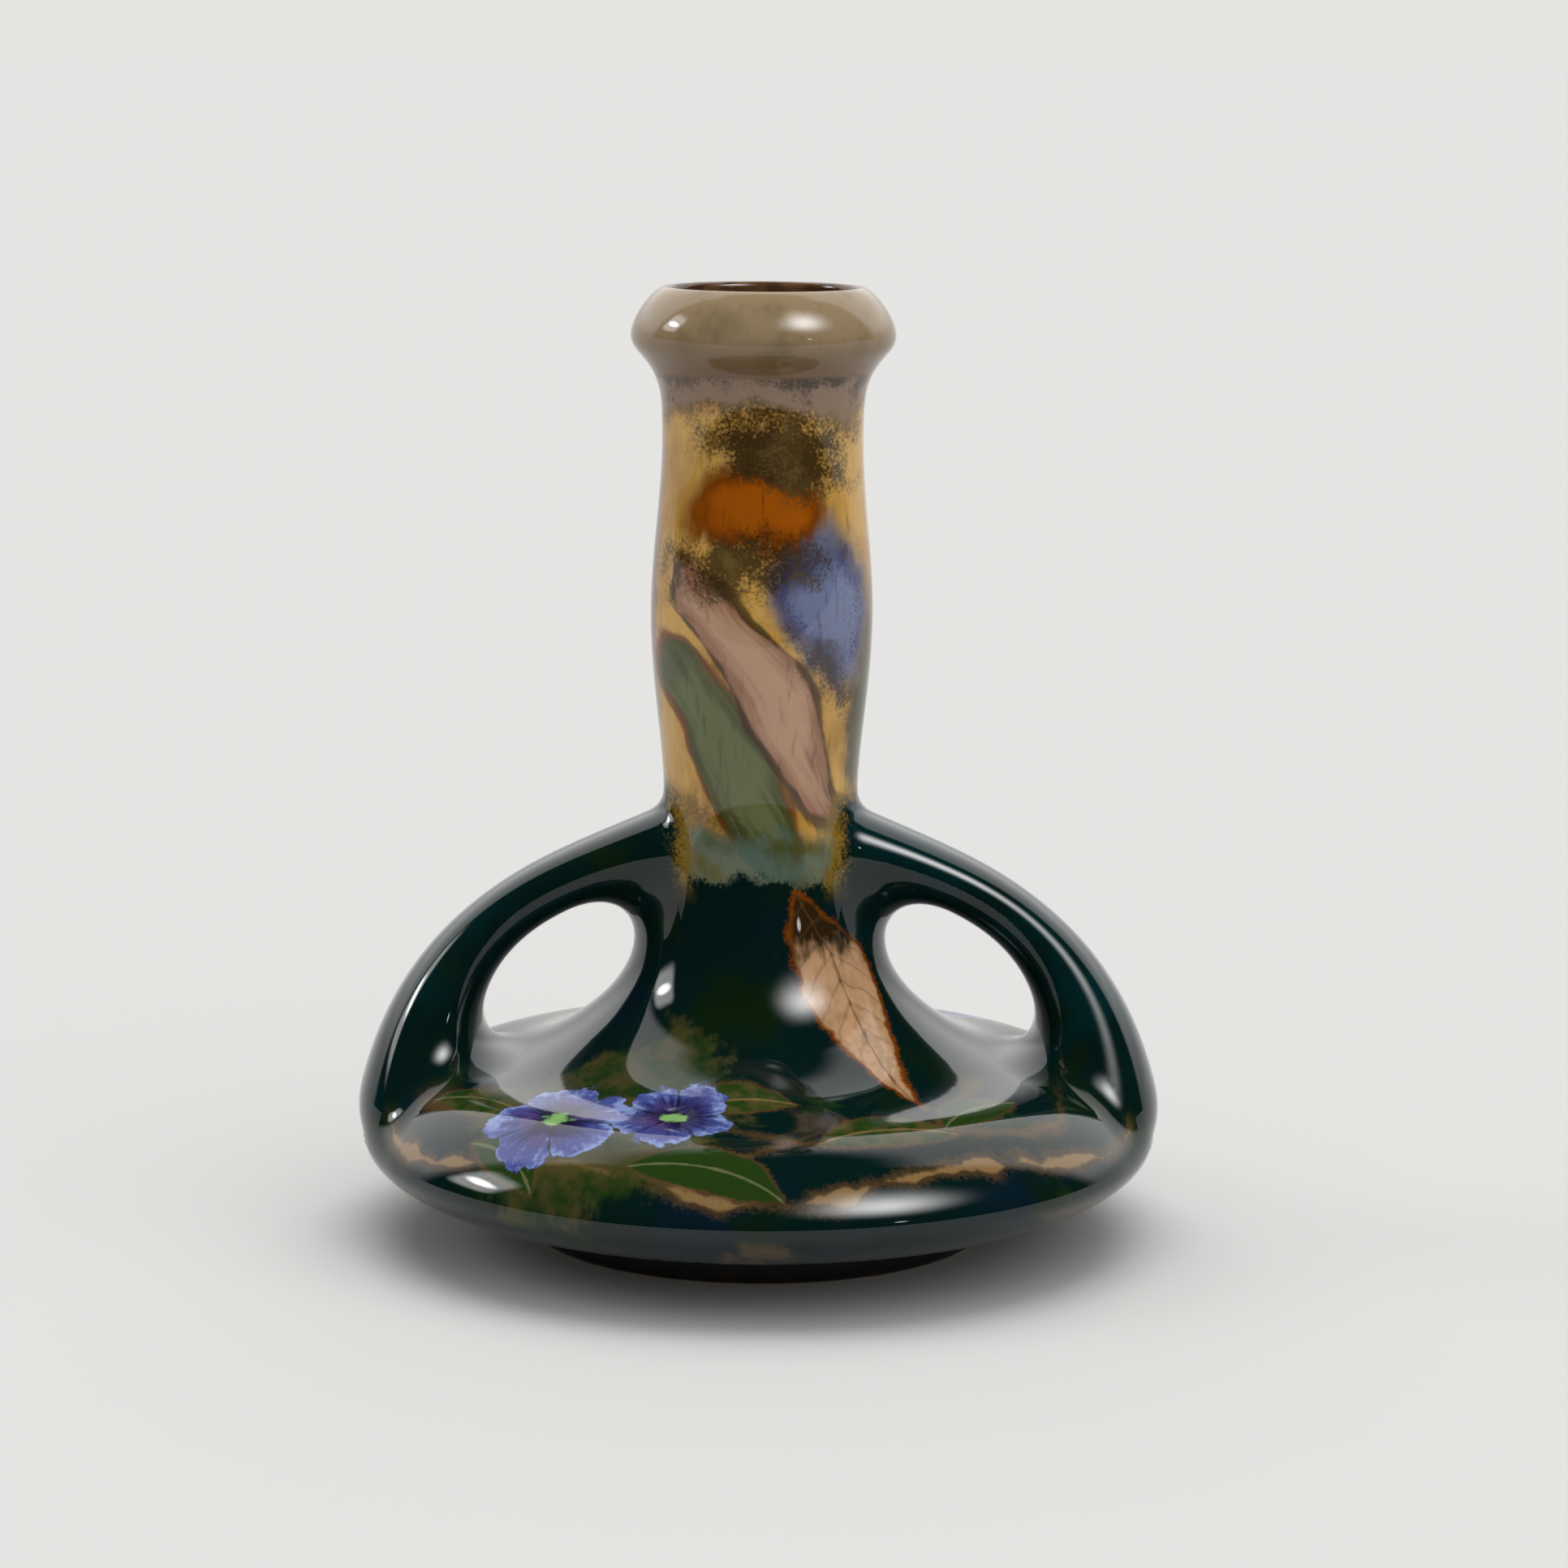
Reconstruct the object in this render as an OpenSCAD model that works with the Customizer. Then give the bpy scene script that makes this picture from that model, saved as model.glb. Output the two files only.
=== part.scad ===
// Two-handled pottery vase, made of thrown sections and pulled handles luted together with slip.
// Millimetres, +Z up. The origin is the middle of the resting face of the foot ring.
// The handles lie in the XZ plane, so the broad face of the vase looks along Y.

/* [Overall] */
// Height from the resting face to the top of the lip
total_h = 200; // [185:1:220]
// Thickness of the thrown walls and of the floor
wall = 4.5; // [3.5:0.25:5.5]
// Thickness of the slip layer in every luted joint
slip_t = 0.6; // [0.4:0.1:1.2]

/* [Foot ring] */
// Outside diameter of the foot ring where it rests
foot_d = 99; // [84:1:101]
// Height from the resting face to the underside of the body
foot_h = 8.5; // [6:0.5:11]
// Width of the foot ring between its inner and outer faces
foot_w = 9; // [7:0.5:14]
// Radius of the foot ring's rounded lower edges
foot_round = 2; // [1:0.25:3]

/* [Body] */
// Diameter of the flat underside, before it curves up
under_d = 114; // [106:1:120]
// Diameter of the belly, the widest line of the vase
belly_d = 167.4; // [160:0.2:178]
// Rise from the flat underside to the belly
belly_rise = 12; // [10:0.5:15]
// Diameter of the shoulder, where the top of the body runs almost flat
shoulder_d = 136; // [130:1:142]
// Rise from the belly to the shoulder
shoulder_rise = 14.6; // [12.6:0.2:17]
// Slope of the shoulder in degrees above level
shoulder_slope = 17; // [12:1:22]
// Diameter of the flare, where the body turns up into the neck
flare_d = 72; // [66:1:80]
// Rise from the shoulder to the flare
flare_rise = 12.2; // [10:0.1:15]
// Slope of the flare in degrees above level
flare_slope = 40; // [34:1:48]

/* [Neck] */
// Diameter of the throat, where the neck is luted to the shoulder
throat_d = 49.2; // [47:0.2:54]
// Rise from the flare to the throat
throat_rise = 18.7; // [16:0.1:22]
// Slope of the throat in degrees above level
throat_slope = 74; // [68:1:80]
// Diameter of the waist, the narrowest place of the lower neck
waist_d = 41; // [38:0.2:44]
// Rise from the throat to the waist
waist_rise = 29; // [25:0.5:33]
// Diameter of the swelling half way up the neck
swell_d = 46.6; // [42:0.2:52]
// Diameter of the narrow place below the rim
nape_d = 42; // [39:0.2:44]
// Distance of that narrow place below the rim's joint
nape_drop = 12.4; // [9:0.2:15]

/* [Rim] */
// Diameter where the rim is luted to the neck
collar_d = 45; // [44:0.2:47]
// Depth of that joint below the lip
collar_drop = 18.5; // [16:0.5:20]
// Largest diameter of the rolled rim
rim_d = 55.2; // [52:0.2:58]
// Depth of that widest line below the lip
rim_drop = 10; // [9:0.2:11.6]
// Diameter of the top of the lip
lip_d = 41.6; // [41:0.2:43]
// Diameter of the mouth opening
mouth_d = 39; // [37:0.2:39.4]

/* [Handles] */
// Thickness of a handle at its slimmest, seen from the front
handle_t = 12; // [9:0.2:15]
// Depth of a handle at its slimmest, from front to back
handle_w = 20; // [15:0.5:24]
// Thickness of a handle where it spreads on the neck
root_t = 19.5; // [15:0.5:22]
// Depth of a handle where it spreads on the neck
root_w = 25; // [21:0.5:28]
// Thickness of a handle where it spreads on the shoulder
heel_t = 30.4; // [28:0.2:33]
// Depth of a handle where it spreads on the shoulder
heel_w = 52; // [42:1:58]
// Distance of the handle's root below the waist of the neck
root_drop = 13.4; // [11:0.1:17]
// Slope of the handle in degrees below level as it leaves the neck
root_slope = 8.2; // [2:0.2:14]
// How far the handle keeps that slope, as the reach of its curve
root_reach = 21; // [17:0.5:26]
// How far the heel's outer face stands out beyond the belly
heel_out = 1.2; // [0:0.1:1.7]
// How far the handle runs upright above its heel, as the reach of its curve
heel_reach = 39.8; // [35:0.2:44]

/* [Hidden] */
// Straight pieces in each stretch of the profile and each corner of the foot, and the facets of a handle
profile_steps = 10;
corner_steps = 6;
handle_steps = 32;
handle_sides = 28;
turn_fn = 180;
// Where along a handle it is slimmest, how fast it spreads, and how square its section is
slim_at = 0.4;
spread_power = 2.3;
section_power = 2.4;
// Heel centre line: height above the belly and outward lean in degrees
heel_rise = 5.5;
heel_lean = 3.8;
// Where along the handle the heel starts to round under, and how fast it then shrinks
tuck_from = 0.95;
tuck_rate = 27;
// Depth of the handle's root in the neck, and how far the ends run on before they are trimmed to the
// pot: the root in millimetres, the heel as a share of the handle, in steps
root_bite = 2.3;
root_sink = 9;
heel_sink_share = 0.04;
heel_sink_steps = 2;
// Reaches of the profile's curve before and after each station
under_reach = 15.4;
belly_reach = [5, 4.2];
shoulder_reach = [8.3, 7.6];
flare_reach = [17.8, 6.6];
throat_reach = [10.5, 8.6];
waist_reach = [7.7, 8.8];
swell_reach = [14, 12.7];
nape_reach = [13, 6.5];
collar_reach = [3.1, 4.6];
rim_reach = [3.1, 3.7];
lip_reach = 2.4;
mouth_reach = 5;
// Slopes of the rim where it leaves the neck and where it meets the lip
collar_slope = 66;
lip_slope = 15;

// Heights of the stations
belly_z = foot_h + belly_rise;
shoulder_z = belly_z + shoulder_rise;
flare_z = shoulder_z + flare_rise;
throat_z = flare_z + throat_rise;
waist_z = throat_z + waist_rise;
rim_z = total_h - rim_drop;
collar_z = total_h - collar_drop;
nape_z = collar_z - nape_drop;
swell_z = (waist_z + nape_z) / 2;

// A station is the point [radius, height], the heading of the curve there and its reaches.
function station(d, z, heading, reach) = [[d / 2, z], heading, reach];
under = station(under_d, foot_h, 0, [0, under_reach]);
belly = station(belly_d, belly_z, 90, belly_reach);
shoulder_line = station(shoulder_d, shoulder_z, 180 - shoulder_slope, shoulder_reach);
flare = station(flare_d, flare_z, 180 - flare_slope, flare_reach);
throat = station(throat_d, throat_z, 180 - throat_slope, throat_reach);
waist = station(waist_d, waist_z, 90, waist_reach);
swell = station(swell_d, swell_z, 90, swell_reach);
nape = station(nape_d, nape_z, 90, nape_reach);
collar = station(collar_d, collar_z, collar_slope, collar_reach);
rim_line = station(rim_d, rim_z, 90, rim_reach);
lip = station(lip_d, total_h, 180 - lip_slope, [lip_reach, 0]);

wall_stations = [under, belly, shoulder_line, flare, throat, waist, swell, nape, collar];

function unit(heading) = [cos(heading), sin(heading)];

function bezier(p, t) =
    let (s = 1 - t)
    s * s * s * p[0] + 3 * s * s * t * p[1] + 3 * s * t * t * p[2] + t * t * t * p[3];

function bezier_slope(p, t) =
    let (s = 1 - t)
    3 * s * s * (p[1] - p[0]) + 6 * s * t * (p[2] - p[1]) + 3 * t * t * (p[3] - p[2]);

// A station's point, moved square to the curve by grow, outwards if positive
function moved(a, grow) = a[0] + grow * unit(a[1] - 90);

// Control points of the curve from one station to the next, with both moved by grow
function stretch(a, b, grow) =
    let (
        from = moved(a, grow),
        to = moved(b, grow),
        share = norm(to - from) / norm(b[0] - a[0])
    )
    [from, from + share * a[2][1] * unit(a[1]), to - share * b[2][0] * unit(b[1]), to];

// The profile through a row of stations, grown by a distance
function profile(stations, grow) = concat(
    [moved(stations[0], grow)],
    [for (i = [0 : len(stations) - 2])
        for (k = [1 : profile_steps])
            bezier(stretch(stations[i], stations[i + 1], grow), k / profile_steps)]
);

function backwards(list) = [for (i = [len(list) - 1 : -1 : 0]) list[i]];

// The mouth's inner face, from the neck's inner wall up to the lip
function mouth_line() =
    let (
        start = moved(collar, -wall),
        edge = [mouth_d / 2, total_h - (lip_d - mouth_d) / 2],
        p = [start, start + mouth_reach * unit(collar_slope), edge - [0, mouth_reach], edge]
    )
    [for (k = [1 : profile_steps]) bezier(p, k / profile_steps)];

// The cut clay of the whole pot from floor to lip, right of the axis
module pot_section() {
    outside = profile(concat(wall_stations, [rim_line, lip]), 0);
    inside = concat(profile(wall_stations, -wall), mouth_line());
    polygon(concat([[0, foot_h]], outside, backwards(inside), [[0, foot_h + wall]]));
}

// One thrown piece: the pot's clay between two heights
module thrown(low, high) {
    rotate_extrude($fn = turn_fn)
        intersection() {
            pot_section();
            translate([0, low]) square([belly_d, high - low]);
        }
}

// The pot's outside from underside to swelling as a filled solid, grown by a distance
module pot_core(grow) {
    rotate_extrude($fn = turn_fn)
        polygon(concat(
            [[0, foot_h]],
            profile([under, belly, shoulder_line, flare, throat, waist, swell], grow),
            [[0, swell_z]]
        ));
}

// Foot ring

foot_top = foot_h - slip_t;
foot_outer = foot_d / 2;
foot_inner = foot_outer - foot_w;

function corner(centre, from) =
    [for (k = [0 : corner_steps]) centre + foot_round * unit(from + 90 * k / corner_steps)];

module foot_ring() {
    color("dimgray")
        rotate_extrude($fn = turn_fn)
            polygon(concat(
                corner([foot_inner + foot_round, foot_round], 180),
                corner([foot_outer - foot_round, foot_round], 270),
                [[foot_outer, foot_top], [foot_inner, foot_top]]
            ));
}

module foot_slip() {
    color("tan")
        translate([0, 0, foot_top])
            difference() {
                cylinder(h = slip_t, r = foot_outer, $fn = turn_fn);
                translate([0, 0, -slip_t])
                    cylinder(h = 3 * slip_t, r = foot_inner, $fn = turn_fn);
            }
}

// Thrown sections and the slip between them

module base_bowl() { color("darkslategray") thrown(foot_h, belly_z - slip_t / 2); }

module belly_slip() { color("tan") thrown(belly_z - slip_t / 2, belly_z + slip_t / 2); }

module shoulder() { color("darkslategray") thrown(belly_z + slip_t / 2, throat_z - slip_t / 2); }

module neck_slip() { color("tan") thrown(throat_z - slip_t / 2, throat_z + slip_t / 2); }

module neck() { color("goldenrod") thrown(throat_z + slip_t / 2, collar_z - slip_t / 2); }

module rim_slip() { color("tan") thrown(collar_z - slip_t / 2, collar_z + slip_t / 2); }

module rim_collar() { color("olive") thrown(collar_z + slip_t / 2, total_h); }

// Handles

// The share of its size that the handle keeps as its heel rounds under
function tuck(t) = 1 - tuck_rate * pow(max(0, t - tuck_from), 2);

root_point = [waist_d / 2 - root_bite, waist_z - root_drop];
heel_point = [belly_d / 2 + heel_out - tuck(1) * heel_t / 2, belly_z + heel_rise];
handle_path = [
    root_point,
    root_point + root_reach * unit(-root_slope),
    heel_point + heel_reach * unit(90 - heel_lean),
    heel_point
];

// A size that is slim at one place along the handle and spreads to both ends
function spread(slim, root, heel, t) =
    t < slim_at
        ? slim + (root - slim) * pow((slim_at - t) / slim_at, spread_power)
        : slim + (heel - slim) * pow((t - slim_at) / (1 - slim_at), spread_power);

// One ring of the handle at t, slid along the handle's own direction by a distance
function handle_ring(t, slide) =
    let (
        way = bezier_slope(handle_path, t) / norm(bezier_slope(handle_path, t)),
        middle = bezier(handle_path, t) + slide * way,
        across = [-way[1], way[0]],
        half_t = tuck(t) * spread(handle_t, root_t, heel_t, t) / 2,
        half_w = tuck(t) * spread(handle_w, root_w, heel_w, t) / 2
    )
    [for (k = [0 : handle_sides - 1])
        let (
            a = 360 * k / handle_sides,
            u = sign(cos(a)) * pow(abs(cos(a)), 2 / section_power),
            v = sign(sin(a)) * pow(abs(sin(a)), 2 / section_power),
            p = middle + half_t * u * across
        )
        [p[0], half_w * v, p[1]]];

handle_rings = concat(
    [handle_ring(0, -root_sink)],
    [for (i = [0 : handle_steps]) handle_ring(i / handle_steps, 0)],
    [for (i = [1 : heel_sink_steps]) handle_ring(1 + heel_sink_share * i / heel_sink_steps, 0)]
);

// The right handle before its ends are trimmed to the pot
module handle_blank() {
    n = handle_sides;
    last = len(handle_rings) - 1;
    sides = [for (i = [0 : last - 1])
        for (k = [0 : n - 1])
            let (a = i * n + k, b = i * n + (k + 1) % n)
            each [[a, b, b + n], [a, b + n, a + n]]];
    root_cap = [for (k = [1 : n - 2]) [0, k + 1, k]];
    heel_cap = [for (k = [1 : n - 2]) [last * n, last * n + k, last * n + k + 1]];
    polyhedron([for (ring = handle_rings) each ring], concat(sides, root_cap, heel_cap));
}

module handle() {
    difference() {
        handle_blank();
        pot_core(slip_t);
    }
}

// The two pads of slip under the ends of a handle
module handle_pads() {
    intersection() {
        handle_blank();
        difference() {
            pot_core(slip_t);
            pot_core(0);
        }
    }
}

module left_handle() { color("darkslategray") mirror([1, 0, 0]) handle(); }

module left_handle_slip() { color("tan") mirror([1, 0, 0]) handle_pads(); }

module right_handle() { color("darkslategray") handle(); }

module right_handle_slip() { color("tan") handle_pads(); }

foot_ring();
foot_slip();
base_bowl();
belly_slip();
shoulder();
neck_slip();
neck();
rim_slip();
rim_collar();
left_handle();
left_handle_slip();
right_handle();
right_handle_slip();
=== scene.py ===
# %% [markdown]
# # A two-handled pottery vase
#
# The real vase is a stack of thrown clay sections (foot ring, base bowl, shoulder, neck and rolled rim)
# with two pulled handles, all luted together with slip and covered by one glossy glaze.
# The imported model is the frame: every piece made here sits where its solid sits.
# The lesson first sets the camera, then paints the glaze with nodes, turns the pot from its profile,
# grows the handles out of the clay, and last lights a pale studio.

import math

import bmesh
import bpy
import numpy as np
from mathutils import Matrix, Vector


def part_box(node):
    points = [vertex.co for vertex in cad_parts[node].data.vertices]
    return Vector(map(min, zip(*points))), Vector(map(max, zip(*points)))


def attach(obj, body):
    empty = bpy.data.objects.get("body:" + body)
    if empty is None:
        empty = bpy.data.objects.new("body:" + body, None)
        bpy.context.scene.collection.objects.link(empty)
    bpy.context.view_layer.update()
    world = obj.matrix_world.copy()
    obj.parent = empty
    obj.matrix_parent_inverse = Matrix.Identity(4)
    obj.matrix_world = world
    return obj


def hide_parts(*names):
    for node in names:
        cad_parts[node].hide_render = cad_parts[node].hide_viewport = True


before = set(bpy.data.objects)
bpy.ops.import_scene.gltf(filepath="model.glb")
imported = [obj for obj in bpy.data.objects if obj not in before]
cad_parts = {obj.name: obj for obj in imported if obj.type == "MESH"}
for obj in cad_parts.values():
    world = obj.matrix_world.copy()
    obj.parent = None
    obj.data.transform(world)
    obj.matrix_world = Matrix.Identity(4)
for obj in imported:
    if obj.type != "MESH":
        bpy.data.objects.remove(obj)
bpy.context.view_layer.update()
MM = 0.001


def frame_mm(node, corner, axis):
    """One coordinate of a node's box in millimetres: corner 0 is the lowest, 1 the highest."""
    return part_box(node)[corner]["xyz".index(axis)] / MM


def middle_mm(node):
    """Height of the middle of a node, in millimetres."""
    return (frame_mm(node, 0, "z") + frame_mm(node, 1, "z")) / 2


print("frame nodes:", sorted(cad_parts))

# %% [markdown]
# ## Camera
#
# The photograph looks slightly down on the vase from about an arm and a half away: the rim is seen
# almost edge on and the shoulder opens up as a flat ellipse. A long lens keeps the neck's sides upright.
# The camera is set first, because every later comparison depends on it.

# %% Camera
IMAGE_SIDE_PX = 1932
AXIS_COLUMN_PX = 943.3
FOCAL_PX = 5445
SENSOR_MM = 36
NEAREST_SEEN = 50 * MM
CAMERA_DISTANCE = 920 * MM
CAMERA_HEIGHT = 249.3 * MM
CAMERA_PITCH = math.radians(9.49)
CAMERA_ROLL = math.radians(-0.41)


def placed(name, data):
    """A new object in the scene."""
    thing = bpy.data.objects.new(name, data)
    bpy.context.scene.collection.objects.link(thing)
    return thing


camera_data = bpy.data.cameras.new("camera")
camera_data.sensor_width = SENSOR_MM
camera_data.lens = FOCAL_PX / IMAGE_SIDE_PX * SENSOR_MM
camera_data.clip_start = NEAREST_SEEN
camera = placed("camera", camera_data)
camera_yaw = math.atan((IMAGE_SIDE_PX / 2 - AXIS_COLUMN_PX) / FOCAL_PX)
camera.location = (0, -CAMERA_DISTANCE, CAMERA_HEIGHT)
camera.rotation_euler = (math.pi / 2 - CAMERA_PITCH, CAMERA_ROLL, -camera_yaw)
bpy.context.scene.camera = camera
print(f"camera: {camera_data.lens:.1f} mm lens, {math.degrees(CAMERA_PITCH):.1f} degrees down")

# %% [markdown]
# ## The profile
#
# A thrown pot is a solid of revolution, so its whole outside is one line, drawn here through a few
# stations. Each station has a radius, a height, the heading of the line there, and how far the line
# keeps that heading before and after it. Cubic curves join them, and their reaches are balanced so that
# the bend hardly jumps at a station, because a glossy glaze shows every kink.

# %% Profile stations
FOOT_TOP = frame_mm("base_bowl", 0, "z")
BELLY_Z = middle_mm("belly_slip")
THROAT_Z = middle_mm("neck_slip")
COLLAR_Z = middle_mm("rim_slip")
TOP_Z = frame_mm("rim_collar", 1, "z")
BELLY_R = frame_mm("belly_slip", 1, "x")
RIM_R = frame_mm("rim_collar", 1, "x")
UNDER_R = 57
WALL = 4.5
WAIST_Z = THROAT_Z + 29
NAPE_Z = COLLAR_Z - 12.4

# radius, height, heading in degrees, reach before, reach after (mm)
STATIONS = {
    "under": (UNDER_R, FOOT_TOP, 0, 0, 15.4),
    "belly": (BELLY_R, BELLY_Z, 90, 5, 4.2),
    "shoulder": (68, BELLY_Z + 14.6, 163, 8.3, 7.6),
    "flare": (36, BELLY_Z + 26.8, 140, 17.8, 6.6),
    "throat": (24.6, THROAT_Z, 106, 10.5, 8.6),
    "waist": (20.5, WAIST_Z, 90, 7.7, 8.8),
    "swell": (23.3, (WAIST_Z + NAPE_Z) / 2, 90, 14, 12.7),
    "nape": (21, NAPE_Z, 90, 13, 6.5),
    "collar": (22.5, COLLAR_Z, 66, 3.1, 4.6),
    "rim": (RIM_R, TOP_Z - 10, 90, 3.1, 3.7),
    "lip": (20.8, TOP_Z, 165, 2.4, 0),
}
print("profile stations:", ", ".join(STATIONS))

# %% Lines through the stations
STEP_MM = 0.6


def unit(degrees):
    """The direction of an angle, or of each angle of a list."""
    return np.stack([np.cos(np.radians(degrees)), np.sin(np.radians(degrees))], axis=-1)


def scaled(vectors):
    """The same directions with length 1."""
    return vectors / np.maximum(np.linalg.norm(vectors, axis=-1, keepdims=True), 1e-6)


def out_of(ways):
    """Normals to the right of a line's ways, which is outwards where the line rises."""
    ways = scaled(ways)
    return np.stack([ways[:, 1], -ways[:, 0]], axis=1)


def bezier(controls, t):
    """Points of a cubic curve at the parameters t, and the ways that it goes there."""
    a, b, c, d = controls
    t = t[:, None]
    s = 1 - t
    points = s**3 * a + 3 * s * s * t * b + 3 * s * t * t * c + t**3 * d
    return points, 3 * s * s * (b - a) + 6 * s * t * (c - b) + 3 * t * t * (d - c)


def stretch(first, last, grow):
    """Control points from one station to the next, both moved square to the line by grow."""
    a, b = STATIONS[first], STATIONS[last]
    start = np.array(a[:2]) + grow * unit(a[2] - 90)
    end = np.array(b[:2]) + grow * unit(b[2] - 90)
    share = np.linalg.norm(end - start) / math.dist(a[:2], b[:2])
    return [start, start + share * a[4] * unit(a[2]), end - share * b[3] * unit(b[2]), end]


def line_through(names, grow=0.0, step=STEP_MM):
    """The profile through the named stations: points and outward normals, a step apart."""
    strips = []
    for first, last in zip(names[:-1], names[1:]):
        curve = stretch(first, last, grow)
        count = max(4, math.ceil(math.dist(curve[0], curve[3]) / step))
        strips.append(bezier(curve, np.linspace(0, 1, count + 1)[(1 if strips else 0):]))
    points, ways = (np.concatenate(rows) for rows in zip(*strips))
    return points, out_of(ways)


print("profile points:", len(line_through(list(STATIONS))[0]))

# %% [markdown]
# ## Writing shader sums
#
# The decoration is painted from each point's own place on the pot, so no picture is needed. A painting
# like this takes many small maths nodes. The class below lets them be written as ordinary sums: a Wire
# is one socket, and adding or multiplying two wires adds the node that does it.

# %% Wires
def feed(tree, value, socket):
    """Links a wire to a socket, or sets the socket to a plain value."""
    if isinstance(value, Wire):
        tree.links.new(value.socket, socket)
    elif isinstance(value, tuple) and len(value) == 3 and socket.type == "RGBA":
        socket.default_value = (*value, 1)
    else:
        socket.default_value = value


class Wire:
    """One output socket of a shader tree."""

    def __init__(self, tree, socket):
        self.tree, self.socket = tree, socket

    def maths(self, operation, *others):
        node = self.tree.nodes.new("ShaderNodeMath")
        node.operation = operation
        for value, socket in zip((self, *others), node.inputs):
            feed(self.tree, value, socket)
        return Wire(self.tree, node.outputs[0])

    def __add__(self, other):
        return self.maths("ADD", other)

    def __sub__(self, other):
        return self.maths("SUBTRACT", other)

    def __rsub__(self, other):
        return self * -1 + other

    def __mul__(self, other):
        return self.maths("MULTIPLY", other)

    def __truediv__(self, other):
        return self.maths("DIVIDE", other)

    def __pow__(self, other):
        return self.maths("POWER", other)

    def __abs__(self):
        return self.maths("ABSOLUTE")

    def smooth(self, low, high):
        """Runs softly from 0 at low to 1 at high."""
        node = self.tree.nodes.new("ShaderNodeMapRange")
        node.interpolation_type = "SMOOTHSTEP"
        for name, value in (("Value", self), ("From Min", low), ("From Max", high)):
            feed(self.tree, value, node.inputs[name])
        return Wire(self.tree, node.outputs[0])


print("wires can be added, subtracted, multiplied, divided, raised to a power and smoothed")

# %% Shader helpers
def span(a, b):
    """Length of the step that goes a one way and b square to it."""
    return (a * a + b * b).maths("SQRT")


def leaned(dx, dy, degrees):
    """The two parts of a step on axes that lean by an angle."""
    c, s = unit(degrees).tolist()
    return dx * c - dy * s, dx * s + dy * c


def vector(*values):
    """A vector made of up to three wires."""
    tree = values[0].tree
    node = tree.nodes.new("ShaderNodeCombineXYZ")
    for value, socket in zip(values, node.inputs):
        feed(tree, value, socket)
    return Wire(tree, node.outputs[0])


def axes_of(place):
    """The three coordinates of a vector as wires."""
    node = place.tree.nodes.new("ShaderNodeSeparateXYZ")
    feed(place.tree, place, node.inputs[0])
    return [Wire(place.tree, socket) for socket in node.outputs]


def blend(mask, below, above):
    """Paints one colour over another where the mask is 1."""
    tree = mask.tree
    node = tree.nodes.new("ShaderNodeMix")
    node.data_type = "RGBA"
    for value, socket in ((mask, node.inputs[0]), (below, node.inputs[6]), (above, node.inputs[7])):
        feed(tree, value, socket)
    return Wire(tree, node.outputs[2])


def noise(place, size, detail=2.0, seed=0.0):
    """A cloudy value from about -0.5 to 0.5 with lumps of the given size in mm."""
    node = place.tree.nodes.new("ShaderNodeTexNoise")
    node.noise_dimensions = "4D"
    for name, value in (("Vector", place), ("W", seed), ("Scale", 1 / size), ("Detail", detail)):
        feed(place.tree, value, node.inputs[name])
    return Wire(place.tree, node.outputs[0]) - 0.5


def srgb(red, green, blue):
    """A colour as read in the photograph, turned into the linear values that shaders use."""
    values = []
    for channel in (red, green, blue):
        share = channel / 255
        values.append(share / 12.92 if share <= 0.04045 else ((share + 0.055) / 1.055) ** 2.4)
    return tuple(values)


print("a middle grey is written as", round(srgb(128, 128, 128)[0], 3))

# %% Shader groups
SOCKETS = {"VALUE": "NodeSocketFloat", "RGBA": "NodeSocketColor", "VECTOR": "NodeSocketVector"}


def open_group(name, inputs=()):
    """An empty shader group with numbers as inputs: its tree and the inputs as wires."""
    tree = bpy.data.node_groups.new(name, "ShaderNodeTree")
    for socket in inputs:
        tree.interface.new_socket(socket, in_out="INPUT", socket_type=SOCKETS["VALUE"])
    entry = tree.nodes.new("NodeGroupInput")
    return tree, [Wire(tree, entry.outputs[socket]) for socket in inputs]


def close_group(tree, outputs):
    """Gives a group its outputs: each named wire gets a socket of its own kind."""
    for name, wire in outputs.items():
        tree.interface.new_socket(name, in_out="OUTPUT", socket_type=SOCKETS[wire.socket.type])
    leave = tree.nodes.new("NodeGroupOutput")
    for name, wire in outputs.items():
        feed(tree, wire, leave.inputs[name])
    print("shader group:", tree.name, list(outputs))
    return tree


def use(tree, group, **inputs):
    """Places a group in a tree and gives its outputs as wires."""
    node = tree.nodes.new("ShaderNodeGroup")
    node.node_tree = group
    for name, value in inputs.items():
        feed(tree, value, node.inputs[name.title()])
    return {socket.name: Wire(tree, socket) for socket in node.outputs}


# %% [markdown]
# ## Shared effects
#
# Some effects are used again and again, so each is a node group. The first says where on the pot a point
# lies. The next two are the decorator's tools: a sponge that dabs an edge, as in the brown and yellow
# clouds, and a brush that leaves it soft and streaky. The others are the motifs, a blossom and a leaf,
# drawn from two coordinates in millimetres. Wherever a drift (wobble, streak, ripple or noise) is added
# to a length, the number beside it says how many millimetres it may push the edge.

# %% Place and edge groups
STREAK_SQUEEZE = 0.16


def place_group():
    """Where a point lies: position in mm, turn round the axis from the front, radius, height, distance
    to the side and to the front or back, and the drift of the brush, even or drawn out along the height."""
    tree, _ = open_group("pot_place")
    scale = tree.nodes.new("ShaderNodeVectorMath")
    scale.operation = "SCALE"
    scale.inputs["Scale"].default_value = 1 / MM
    tree.links.new(tree.nodes.new("ShaderNodeTexCoord").outputs["Object"], scale.inputs[0])
    place = Wire(tree, scale.outputs[0])
    x, y, z = axes_of(place)
    return close_group(tree, {
        "Place": place,
        "Turn": x.maths("ARCTAN2", y * -1),
        "Radius": span(x, y),
        "Height": z,
        "Side": abs(x),
        "Front": abs(y),
        "Wobble": noise(place, 9, 2),
        "Streak": noise(vector(x, y, z * STREAK_SQUEEZE), 1.6, 2, 3.0),
    })


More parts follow.
